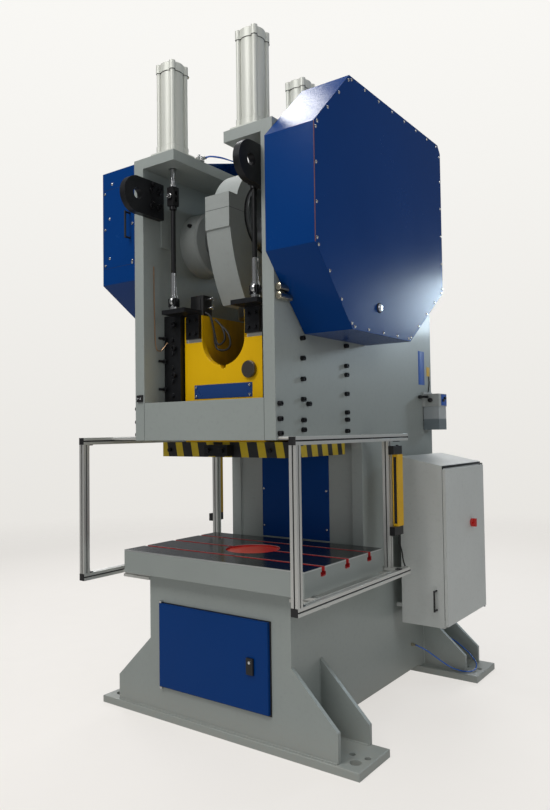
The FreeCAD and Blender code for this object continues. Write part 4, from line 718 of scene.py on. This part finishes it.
# %% Sections along a path
def carried(path, radius, sides=10, ripple=0.0, pitch=0.007):
    """A round section of that radius carried along a path: at each point two directions across the path, from its
    cross product with a fixed one, span the circle. A ripple swells the radius with each pitch of length."""
    path = np.array(path, float)
    ahead_of = np.gradient(path, axis=0)
    ahead_of /= np.linalg.norm(ahead_of, axis=1)[:, None]
    fixed = np.eye(3)[np.argmin(np.abs(ahead_of).max(0))]
    across = np.cross(ahead_of, fixed)
    across /= np.linalg.norm(across, axis=1)[:, None]
    upward = np.cross(across, ahead_of)
    step = np.linalg.norm(np.diff(path, axis=0), axis=1)
    far = np.concatenate(([0], np.cumsum(step)))
    swell = radius * (1 + ripple * np.sin(2 * np.pi * far / pitch))
    angle = np.linspace(0, 2 * np.pi, sides, endpoint=False)
    ring = np.cos(angle)[None, :, None] * across[:, None] + np.sin(angle)[None, :, None] * upward[:, None]
    return path[:, None] + swell[:, None, None] * ring


def smooth_path(points, steps=12):
    """A Catmull-Rom path: between two points a cubic whose slopes are half the steps to the neighbours."""
    p = np.array(points, float)
    p = np.vstack((2 * p[0] - p[1], p, 2 * p[-1] - p[-2]))
    t = np.linspace(0, 1, steps, endpoint=False)[None, :, None]
    a, b, c, d = p[:-3, None], p[1:-2, None], p[2:-1, None], p[3:, None]
    curve = 0.5 * (2 * b + (c - a) * t + (2 * a - 5 * b + 4 * c - d) * t ** 2 + (3 * b - a - 3 * c + d) * t ** 3)
    return np.vstack((curve.reshape(-1, 3), p[-2]))


print("turned, block and carried grids ready")

# %% [markdown]
# ## The loose air hose
# A thin blue polyurethane tube leaves a fitting low on the column, hangs down over the rear foot in one wide
# bow and goes back into a second fitting. Such a tube is springy, so its line has no corner anywhere. A NURBS curve of
# order three through a short list of control points gives that line, and a round bevel its thickness.

# %% Air hose
HOSE = ((530, 1405, 220), (576, 1424, 202), (622, 1474, 152), (666, 1528, 98), (718, 1560, 60), (776, 1570, 49),
        (826, 1592, 47), (848, 1640, 52), (836, 1695, 74), (792, 1728, 108), (730, 1741, 150), (660, 1743, 190),
        (592, 1738, 222), (530, 1735, 236))


def spline(name, points, radius, finish, resolution=16):
    """A smooth tube: a NURBS curve of order three with these control points, with a round bevel."""
    curve = bpy.data.curves.new(name, "CURVE")
    curve.dimensions = "3D"
    line = curve.splines.new("NURBS")
    line.points.add(len(points) - 1)
    flat = np.ones((len(points), 4))
    flat[:, :3] = points
    line.points.foreach_set("co", flat.ravel())
    line.order_u = 3
    line.use_endpoint_u = True
    curve.resolution_u = resolution
    curve.bevel_depth = radius
    curve.bevel_resolution = 4
    curve.use_fill_caps = True
    curve.materials.append(finish)
    piece = bpy.data.objects.new(name, curve)
    bpy.context.scene.collection.objects.link(piece)
    return piece


route = np.array(HOSE) / 1000
hose = spline("blue_air_hose", route, 0.004, blue_tube)
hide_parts("air_hose")
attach(hose, "frame")
print("hose of", len(route), "control points")

# %% [markdown]
# ## Small parts on the guards
# Four short helpers serve all small parts: a plain box, a socket head screw, a rod and a bent tube. A guard bar
# has a groove in each face, and a black rubber strip in each groove stands for a slot cover and also paints the
# shade inside the groove. Plastic caps close the bar ends. The light curtains get clamping knobs and a cable each.

# %% Boxes, screws, rods and tubes
SIDES = (-1, 1)
seam_black = moulded("dark_seam", colour(22, 22, 22), 0.6)


def box(x, y, z, corner=0.0012, bevel=0.0005):
    """A rounded block between pairs of x, y and z."""
    return block((x[0], y[0], z[0]), (x[1], y[1], z[1]), "Z", corner, bevel, 2)


def screw(axis, centre, radius, height):
    """A screw head that rises by the height along an axis, with a round recess in its end."""
    profile = ((0, radius), (height * 0.88, radius), (height, radius * 0.88), (height, radius * 0.5),
               (height * 0.55, radius * 0.46))
    return turned(axis, centre, profile, 18)


def rod(axis, centre, start, end, radius, sides=18):
    """A straight round bar whose ends are broken by 15 % of its radius, or 1 mm."""
    nick = min(radius * 0.15, 0.001) * (1 if end > start else -1)
    profile = ((start, radius * 0.9), (start + nick, radius), (end - nick, radius), (end, radius * 0.9))
    return turned(axis, centre, profile, sides)


def tube(points, radius, steps=10):
    """A bent tube: a round section carried along the smooth path through the points."""
    return carried(smooth_path(points, steps), radius, 8)


def added(name, grids, finish, body="frame"):
    """Closed pieces of one kind as one object."""
    return fitted(surface(name, grids, close_columns=True, caps=True), finish, body)


# %% Groove strips and end caps
BAR, RAILS = 0.735, (0.824, 1.601)
RAIL_ENDS, POST_ENDS = (-0.307, 0.871), (0.844, 1.581)
POST = (0.655, 0.790)
FRONT_POST = -0.287


def strips(axis, middle, start, end):
    """Four strips in a square bar, one per face: 6.8 mm thick, 7.8 mm wide, 12.5 mm off the axis."""
    u, v, w = AXES[axis]
    made = []
    for deep, wide in ((0, 1), (1, 0)):
        for way in SIDES:
            low, high = np.zeros(3), np.zeros(3)
            for index, value, half in (((u, v)[deep], middle[deep] + way * 0.0125, 0.0034),
                                       ((u, v)[wide], middle[wide], 0.0039)):
                low[index], high[index] = value - half, value + half
            low[w], high[w] = start + 0.001, end - 0.001
            made.append(block(low, high, "Z", 0.0004, 0.0002, 1))
    return made


for side, name in zip(SIDES, ("guard_frame_left", "guard_frame_right")):
    x = side * BAR
    face, narrow = (x - 0.0195, x + 0.0195), (x - 0.016, x + 0.016)
    dark, ends, angles = [], [], []
    for z, way in zip(RAILS, (1, -1)):
        dark += strips("Y", (z, x), *RAIL_ENDS)
        tall = (z - 0.0195, z + 0.0195)
        ends += [box(face, (-0.3095, -0.3068), tall, 0.003), box(face, (0.8708, 0.8735), tall, 0.003)]
        near = z + way * 0.020
        flat, upright = sorted((near, near + way * 0.005)), sorted((near, near + way * 0.030))
        angles += [box(narrow, (-0.267, -0.237), flat, 0.002), box(narrow, (-0.267, -0.262), upright, 0.002),
                   box(narrow, (0.7405, 0.7705), flat, 0.002)]
    dark += strips("Z", (x, FRONT_POST), *POST_ENDS)
    dark += strips("Z", (side * POST[0], POST[1]), *POST_ENDS)
    # The black strips also paint the shade inside the grooves.
    added(name + "_groove_strips_and_shade", dark, black_rubber)
    added(name + "_ends", ends + angles, black_plastic)
    print(name, len(dark), "strips")

# %% Light curtains
knobs, cables = [], []
for side in SIDES:
    x = side * CURTAIN_X
    for z in (1.055, 1.525):
        knobs += [screw("X", (side * 0.6755, 0.800, z), 0.010, -side * 0.014), screw("Z", (x, 0.850, z), 0.009, 0.03)]
    cables.append(tube(((x, 0.855, 1.032), (x, 0.856, 0.985), (x + side * 0.012, 0.862, 0.93),
                        (x + side * 0.016, 0.868, 0.88), (x + side * 0.030, 0.862, 0.846)), 0.0042, 8))
added("curtain_knobs", knobs, black_plastic)
added("curtain_cables", cables, black_rubber)
print(len(knobs), "knobs and", len(cables), "cables")

# %% [markdown]
# ## Small parts in the head
# The rod is split at the eccentric, so a dark joint line runs across its bolting lugs, and a black seal ring
# lies round the eccentric. Gib screws stand out of the gibs with their lock nuts, and the slide carries a
# black terminal box with a drooping cable. What moves with the rod or the slide rides on that body.

# %% Rod joint and seal ring
ECCENTRIC = (0.400, 2.900)
joints = [box((-0.0876, 0.0876), y, (2.8991, 2.9009), 0.0002, 0.0001) for y in ((0.0496, 0.190), (0.610, 0.7504))]
added("rod_joint_line", joints, seam_black, "rod")


def rings(name, profile, finish):
    """A ring of that section on each side of the rod, round the eccentric."""
    pair = [turned("X", (way * 0.0874, *ECCENTRIC), [(way * a, r) for a, r in profile], 96) for way in SIDES]
    fitted(surface(name, pair, close_columns=True, close_rows=True), finish, "rod")


rings("seal_rings", ((0.0, 0.2035), (0.0032, 0.2045), (0.0032, 0.2135), (0.0, 0.2145)), black_rubber)
rings("bearing_edges", ((0, 0.1955), (0.0014, 0.1965), (0.0014, 0.2025), (0, 0.2032)), turned_steel)
print(len(joints), "joint lines, seal rings and bearing edges made")

# %% Gib screws and oil tubes
GIB_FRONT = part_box("gibs")[0].y
stems, nuts, bolts, tubes = [], [], [], []
for side in SIDES:
    x = side * 0.410
    for z in (1.72, 1.90, 2.065, 2.20):
        stems.append(rod("Y", (x, 0, z), GIB_FRONT + 0.001, GIB_FRONT - 0.052, 0.008))
        nuts.append(turned("Y", (x, GIB_FRONT, z), ((0.0, 0.014), (-0.012, 0.014), (-0.013, 0.012)), 18, 6))
    for z in (1.78, 1.98, 2.14, 2.28):
        bolts.append(screw("Y", (side * 0.340, GIB_FRONT + 0.0005, z), 0.015, -0.014))
    tubes.append(tube(((side * 0.4215, -0.030, 2.62), (side * 0.4215, -0.028, 2.40), (side * 0.420, -0.020, 2.16),
                       (side * 0.412, 0.010, 2.125), (side * 0.398, 0.030, 2.15), (side * 0.392, GIB_FRONT, 2.175)),
                      0.0032))
added("gib_stems", stems, black_oxide)
added("gib_nuts", nuts, black_oxide)
added("gib_bolts", bolts, screw_black)
copper = machined("copper_tube", colour(176, 142, 112), 0.3, (200, 200, 200), 0.00003)
added("oil_tubes", tubes, copper)
print(len(stems) + len(bolts), "gib screws")

# %% Ball joints of the tie rods
EYE_SECTION = ((-0.013, 0.020), (-0.011, 0.0285), (-0.004, 0.031), (0.004, 0.031), (0.011, 0.0285), (0.013, 0.020))
ROD_Y = 0.007
eyes, forks, heads = [], [], []
for x in (-0.297, 0.297):
    deep, tall = (ROD_Y - 0.022, ROD_Y + 0.022), (2.371, 2.420)
    forks += [box((x - 0.027, x - 0.015), deep, tall, 0.006), box((x + 0.015, x + 0.027), deep, tall, 0.006),
              rod("X", (0, ROD_Y, 2.402), x - 0.036, x + 0.036, 0.011)]
    eyes.append(turned("X", (x, ROD_Y, 2.404), EYE_SECTION, 28))
    heads += [screw("Y", (x, ROD_Y - 0.0318, 3.016), 0.0165, -0.006),
              rod("Z", (x, ROD_Y, 0), 3.060, 3.085, 0.020)]
added("rod_end_forks", forks, black_oxide, "slide")
added("rod_end_eyes", eyes, plated_steel, "slide")
added("fork_pin_heads", heads, plated_steel, "slide")
print(len(eyes), "ball joints")

# %% Slide box, cable and label screws
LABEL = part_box("slide_label")
added("label_screws", [screw("Y", (x, LABEL[0].y + 0.0005, z), 0.0075, -0.003)
                       for x in (LABEL[0].x + 0.016, LABEL[1].x - 0.016)
                       for z in (LABEL[0].z + 0.014, LABEL[1].z - 0.014)], plated_steel, "slide")
added("slide_terminal_box", [box((-0.285, -0.185), (0.135, 0.215), (2.3195, 2.448), 0.004, 0.0015),
                             box((-0.262, -0.205), (0.131, 0.136), (2.335, 2.43), 0.003)],
      black_plastic, "slide")
LEVELS = (2.372, 2.425)
added("box_bolts", [rod("X", (0, 0.165, z), -0.186, -0.140, 0.006) for z in LEVELS]
      + [screw("X", (-0.141, 0.165, z), 0.011, 0.008) for z in LEVELS], plated_steel, "slide")
wires = [tube(((-0.186, 0.155, 2.345), (-0.150, 0.158, 2.320), (-0.128, 0.160, 2.245), (-0.108, 0.160, low + 0.02),
               (-0.070 + reach, 0.158, low), (-0.030 + reach, 0.156, low + 0.03), (-0.052 + reach, 0.158, low + 0.10),
               (-0.120, 0.166, 2.300)), 0.0065) for low, reach in ((2.115, 0.030), (2.150, -0.010))]
added("slide_cables", wires, black_rubber, "slide")
print("slide box and", len(wires), "cables")

# %% Fittings on the frame's head
added("plate_pins", [rod("Y", (0.5200, 0, z), -0.098, 0.010, 0.0180, 24) for z in (2.372, 2.327)],
      nickel)
added("inner_wall_rib", [box((x - 0.0055, x + 0.0055), (0.030, 0.100), (2.745, 3.090), 0.003, 0.002)
                         for x in (-0.423, 0.423)], plate_paint)
added("sensor_socket", [box((-0.484, -0.436), (-0.116, -0.1055), (1.822, 1.862), 0.004, 0.001)],
      black_plastic)
added("socket_pins", [screw("Y", (x, -0.1155, 1.842), 0.006, -0.005) for x in (-0.471, -0.449)],
      plated_steel)
added("head_seams", [box((x - 0.0010, x + 0.0010), (-0.1064, -0.100), (1.602, 1.816), 0.0002, 0.0001)
                     for x in (-0.4287, 0.4287)], seam_black)
added("lug_screws", [screw("X", (side * 0.3885, y, z), 0.015, -side * 0.010)
                     for side in SIDES for y in (-0.078, -0.020) for z in (2.960, 3.052)],
      screw_black)
added("boss_fittings", [screw("Y", (x, 0.222, 2.905), 0.012, -0.022) for x in (-0.355, 0.355)],
      black_oxide)
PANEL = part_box("throat_panel")[0].y
added("panel_screws", [screw("Y", (x, PANEL + 0.0004, z), 0.0065, -0.0035)
                       for x in (-0.240, 0.240) for z in (1.03, 1.27, 1.50)], plated_steel)
print("head fittings made")

# %% [markdown]
# ## Covers, cylinders, pump and cabinet
# Sheet covers show a thin dark or reddish joint where panels meet, and a plug over the oil hole. Air lines leave
# from small fittings beside the cylinders. The oil pump has a button, a coloured end plate and a suction pipe
# that shows through its tank. Rubber frames seal the two doors, and the lower door's frame reaches past its right
# and bottom edges as a painted shadow line.

# %% Cover joints and plugs
rust_seal = moulded("reddish_sealant", colour(112, 58, 50), 0.5, coat=0.1)
added("cover_joint", [box((0.7925, 0.7957), (-0.1779, -0.1750), (2.536, 3.113), 0.0003, 0.0002)],
      rust_seal)
PLUG = (0.456, 2.304)
PLUG_HEAD = ((0, 0.0225), (0.008, 0.0225), (0.0105, 0.020), (0.0112, 0.012))
added("oil_plug", [turned("X", (0.7945, *PLUG), ((0, 0.027), (0.003, 0.027), (0.004, 0.0255)), 36)],
      black_rubber)
added("oil_plug_head", [turned("X", (0.7965, *PLUG), PLUG_HEAD, 36)], plated_steel)
LINE_Y, LINE = (-0.1004, -0.0990), 0.0015
panel_lines = [box((-0.775, -0.510), LINE_Y, (z, z + LINE), 0.0003, 0.0002) for z in (2.640, 3.120)]
panel_lines += [box((x, x + LINE), LINE_Y, (2.6415, 3.120), 0.0003, 0.0002) for x in (-0.775, -0.5115)]
added("service_panel_line", panel_lines, seam_black)
added("service_panel_screws", [screw("Y", (x, -0.0998, z), 0.008, -0.004)
                               for x in (-0.760, -0.524) for z in (2.66, 2.88, 3.10)],
      plated_steel)
print("cover joints and plug made")

# %% Air fittings
CYLINDERS = {"cylinder_left": (-0.297, 0.007), "cylinder_right": (0.297, 0.007), "cylinder_rear": (0.188, 0.633)}
for name, (x, y) in CYLINDERS.items():
    added(name + "_port", [rod("Y", (x + 0.03, 0, z), y + 0.082, y + 0.106, 0.009) for z in (3.285, 3.758)],
          nickel)
added("regulator_body", [box((0.372, 0.412), (0.120, 0.165), (3.2395, 3.290), 0.006, 0.002)],
      curtain_yellow)
added("regulator_knob", [rod("Z", (0.392, 0.142, 0), 3.289, 3.318, 0.014, 20)], black_plastic)
HOSE_PATHS = (((0.412, 0.150, 3.262), (0.450, 0.165, 3.290), (0.475, 0.215, 3.300), (0.480, 0.300, 3.262),
               (0.470, 0.380, 3.243)),
              ((0.392, 0.142, 3.300), (0.370, 0.150, 3.335), (0.335, 0.128, 3.330), (0.327, 0.105, 3.288)))
added("regulator_hoses", [tube(points, 0.0052) for points in HOSE_PATHS], black_rubber)
added("left_air_fitting", [box((-0.222, -0.176), (0.120, 0.150), (3.2395, 3.268), 0.003, 0.001),
                           rod("X", (0, 0.135, 3.256), -0.178, -0.150, 0.009),
                           rod("Z", (-0.205, 0.135, 0), 3.266, 3.285, 0.008)], plated_steel)
lines = [tube(((-0.152, 0.135, 3.256), (-0.120, 0.140 + 0.012 * k, 3.258), (-0.070, 0.20 + 0.02 * k, 3.252),
               (-0.030 + 0.014 * k, 0.40, 3.2445), (0.030, 0.62, 3.2445), (0.085, 0.70, 3.262),
               (0.150, 0.735, 3.285)), 0.0035) for k in (0, 1)]
added("thin_air_tubes", lines, blue_tube)
print("air lines made")

# %% Oil pump and plates
pump_blue = moulded("pump_blue", colour(24, 86, 178), 0.34, coat=0.2)
added("pump_end_plate", [box((0.6215, 0.6245), (1.700, 1.792), (1.808, 1.886), 0.004, 0.001)],
      pump_blue)
added("pump_button", [rod("Y", (0.560, 0, 1.846), 1.6605, 1.646, 0.016, 24),
                      screw("X", (0.624, 1.752, 1.860), 0.010, 0.012),
                      box((0.622, 0.634), (1.712, 1.738), (1.834, 1.852), 0.003, 0.001)],
      black_plastic)
KNOB = ((0.004, 0.010), (0.006, 0.0125), (0.022, 0.0125), (0.024, 0.010))
added("pump_knob", [turned("X", (0.500, 1.590, 1.868), KNOB, 20)], black_plastic, "pump")
added("suction_pipe", [rod("Z", (0.545, 1.735, 0), 1.662, 1.801, 0.012), rod("Z", (0.590, 1.700, 0), 1.690, 1.801, 0.006),
                       rod("Z", (0.545, 1.735, 0), 1.650, 1.668, 0.019)], white_plastic)
added("tank_clips", [box((0.5005, 0.504), (y, y + 0.012), (1.70, 1.805), 0.001) for y in (1.664, 1.779)]
      + [rod("Z", (x, y, 0), 1.795, 1.807, 0.005) for x in (0.512, 0.612) for y in (1.672, 1.782)],
      black_plastic)
added("rating_plate_blue", [box((0.4998, 0.5012), (1.600, 1.700), (1.955, 2.190), 0.004, 0.0003)],
      pump_blue)
added("rating_plate_yellow", [box((0.4998, 0.5010), (1.738, 1.792), (2.020, 2.085), 0.003, 0.0003)],
      curtain_yellow)
added("pump_lead", [tube(((0.5035, 1.770, 2.020), (0.5035, 1.775, 1.97), (0.5035, 1.764, 1.93),
                          (0.508, 1.745, 1.895)), 0.003)], black_rubber)
print("pump parts and plates made")

# %% Door gaskets and lock
def border(low, high, axis, width):
    """Four bars round the edge of a rectangle across an axis: two full ones, and two that fit between them."""
    u, v, w = AXES[axis]
    bars = []
    for index in (u, v):
        for at_high in (False, True):
            start, end = list(low), list(high)
            if index == v:
                start[u] += width
                end[u] -= width
            if at_high:
                start[index] = high[index] - width
            else:
                end[index] = low[index] + width
            bars.append(box(*zip(start, end)))
    return bars


# The lower door's black frame reaches past the door's right and bottom edges: a painted shadow line.
added("door_gasket_and_shadow_line", border((-0.3980, -0.0028, 0.1800), (0.3780, -0.0002, 0.6660), "Y", 0.016),
      black_rubber)
added("cabinet_gasket", border((0.8497, 1.1355, 0.4840), (0.8532, 1.7945, 1.4180), "X", 0.014),
      black_rubber)
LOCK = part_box("door_lock")
barrel = ((LOCK[0].x + LOCK[1].x) / 2, LOCK[0].y + 0.0006, LOCK[1].z - 0.022)
added("lock_barrel", [screw("Y", barrel, 0.0085, -0.003)], plated_steel, "cupboard_lock")
print("gaskets and lock made")

# %% [markdown]
# ## Weld seams
# A fillet weld is a row of overlapping drops. As a surface it is a round section carried along the joint whose
# radius swells and shrinks with each drop, a sine of the length. Painted over, it takes the finish of the plates.

# %% Weld seams
SECTION, DROP, SWELL = 0.0030, 0.0092, 0.16


def weld(start, end, radius=0.0055):
    """A straight seam between two points, with about a third of a drop between its sections."""
    start, end = np.array(start, float), np.array(end, float)
    length = np.linalg.norm(end - start)
    t = np.linspace(0, 1, max(8, int(length / SECTION)))[:, None]
    return carried(start + (end - start) * t, radius, 6, SWELL, DROP)


GUSSETS = (0.269, 1.6, 1.835)
WEB = 0.025
seams = []
for side in SIDES:
    x = side * 0.5
    seams += [weld((x, 0.0285, 0.060), (x, 0.0285, 0.430)),
              weld((side * 0.428, 0.789, 0.965), (side * 0.428, 0.789, 1.60)),
              weld((side * 0.4275, -0.0445, 1.605), (side * 0.4275, -0.0445, 1.812))]
    for level in GUSSETS:
        for y in (level, level + WEB):
            seams += [weld((x, y, 0.045), (x, y, 0.395)), weld((side * 0.504, y, 0.0415), (side * 0.786, y, 0.0415))]
seams += [weld((-0.765, -0.0012, 0.0425), (0.765, -0.0012, 0.0425)),
          weld((-0.425, -0.05, 1.8165), (0.425, -0.05, 1.8165), 0.003)]
added("weld_seams", seams, plate_paint)
print(len(seams), "seams")

# %% [markdown]
# ## Floor
# The floor is a plain disc that isn't part of the machine. Its shader mixes towards clear with distance from
# the middle, so the pale studio takes over before any horizon. It also glows: pale where
# it is looked at, and weaker as a light on the machine.

# %% Studio floor
def studio_floor():
    """A disc as a grid of radius by angle, and a matt shader that fades to clear: a soft step in the square of the
    distance, from 16 to 112, which is 4 to 10.6 metres."""
    rings, turns = np.array((0.0, 2.5, 5.0, 8.0, 12.5)), np.linspace(0, 2 * np.pi, 49)[:-1]
    radius, angle = np.meshgrid(rings, turns, indexing="ij")
    points = np.stack((radius * np.cos(angle), radius * np.sin(angle) + 0.6, np.zeros_like(radius)), -1)
    floor = surface("floor", points, close_columns=True)
    mix = Recipe("studio_floor")
    x, y, z = mix.axes()
    spot = x * x + (y - 0.6) * (y - 0.6)
    fade = spot.above(64, 48)
    tint = mix.blend(mix.noise(0.8, 3), colour(120, 118, 115), colour(128, 126, 123))
    seen = mix.node("ShaderNodeLightPath", output="Is Camera Ray")
    glow = mix.blend(seen, colour(150, 148, 145), colour(212, 209, 205))
    matt = mix.node("ShaderNodeBsdfPrincipled", None,
                    {"Base Color": tint, "Roughness": mix.noise(6) * 0.1 + 0.62,
                     "Emission Color": glow, "Emission Strength": 1.0})
    clear = mix.node("ShaderNodeBsdfTransparent")
    mix.node_output(mix.node("ShaderNodeMixShader", None, {0: fade, 1: matt, 2: clear}))
    floor.data.materials.append(mix.material)
    return floor


studio_floor()
print("floor laid")
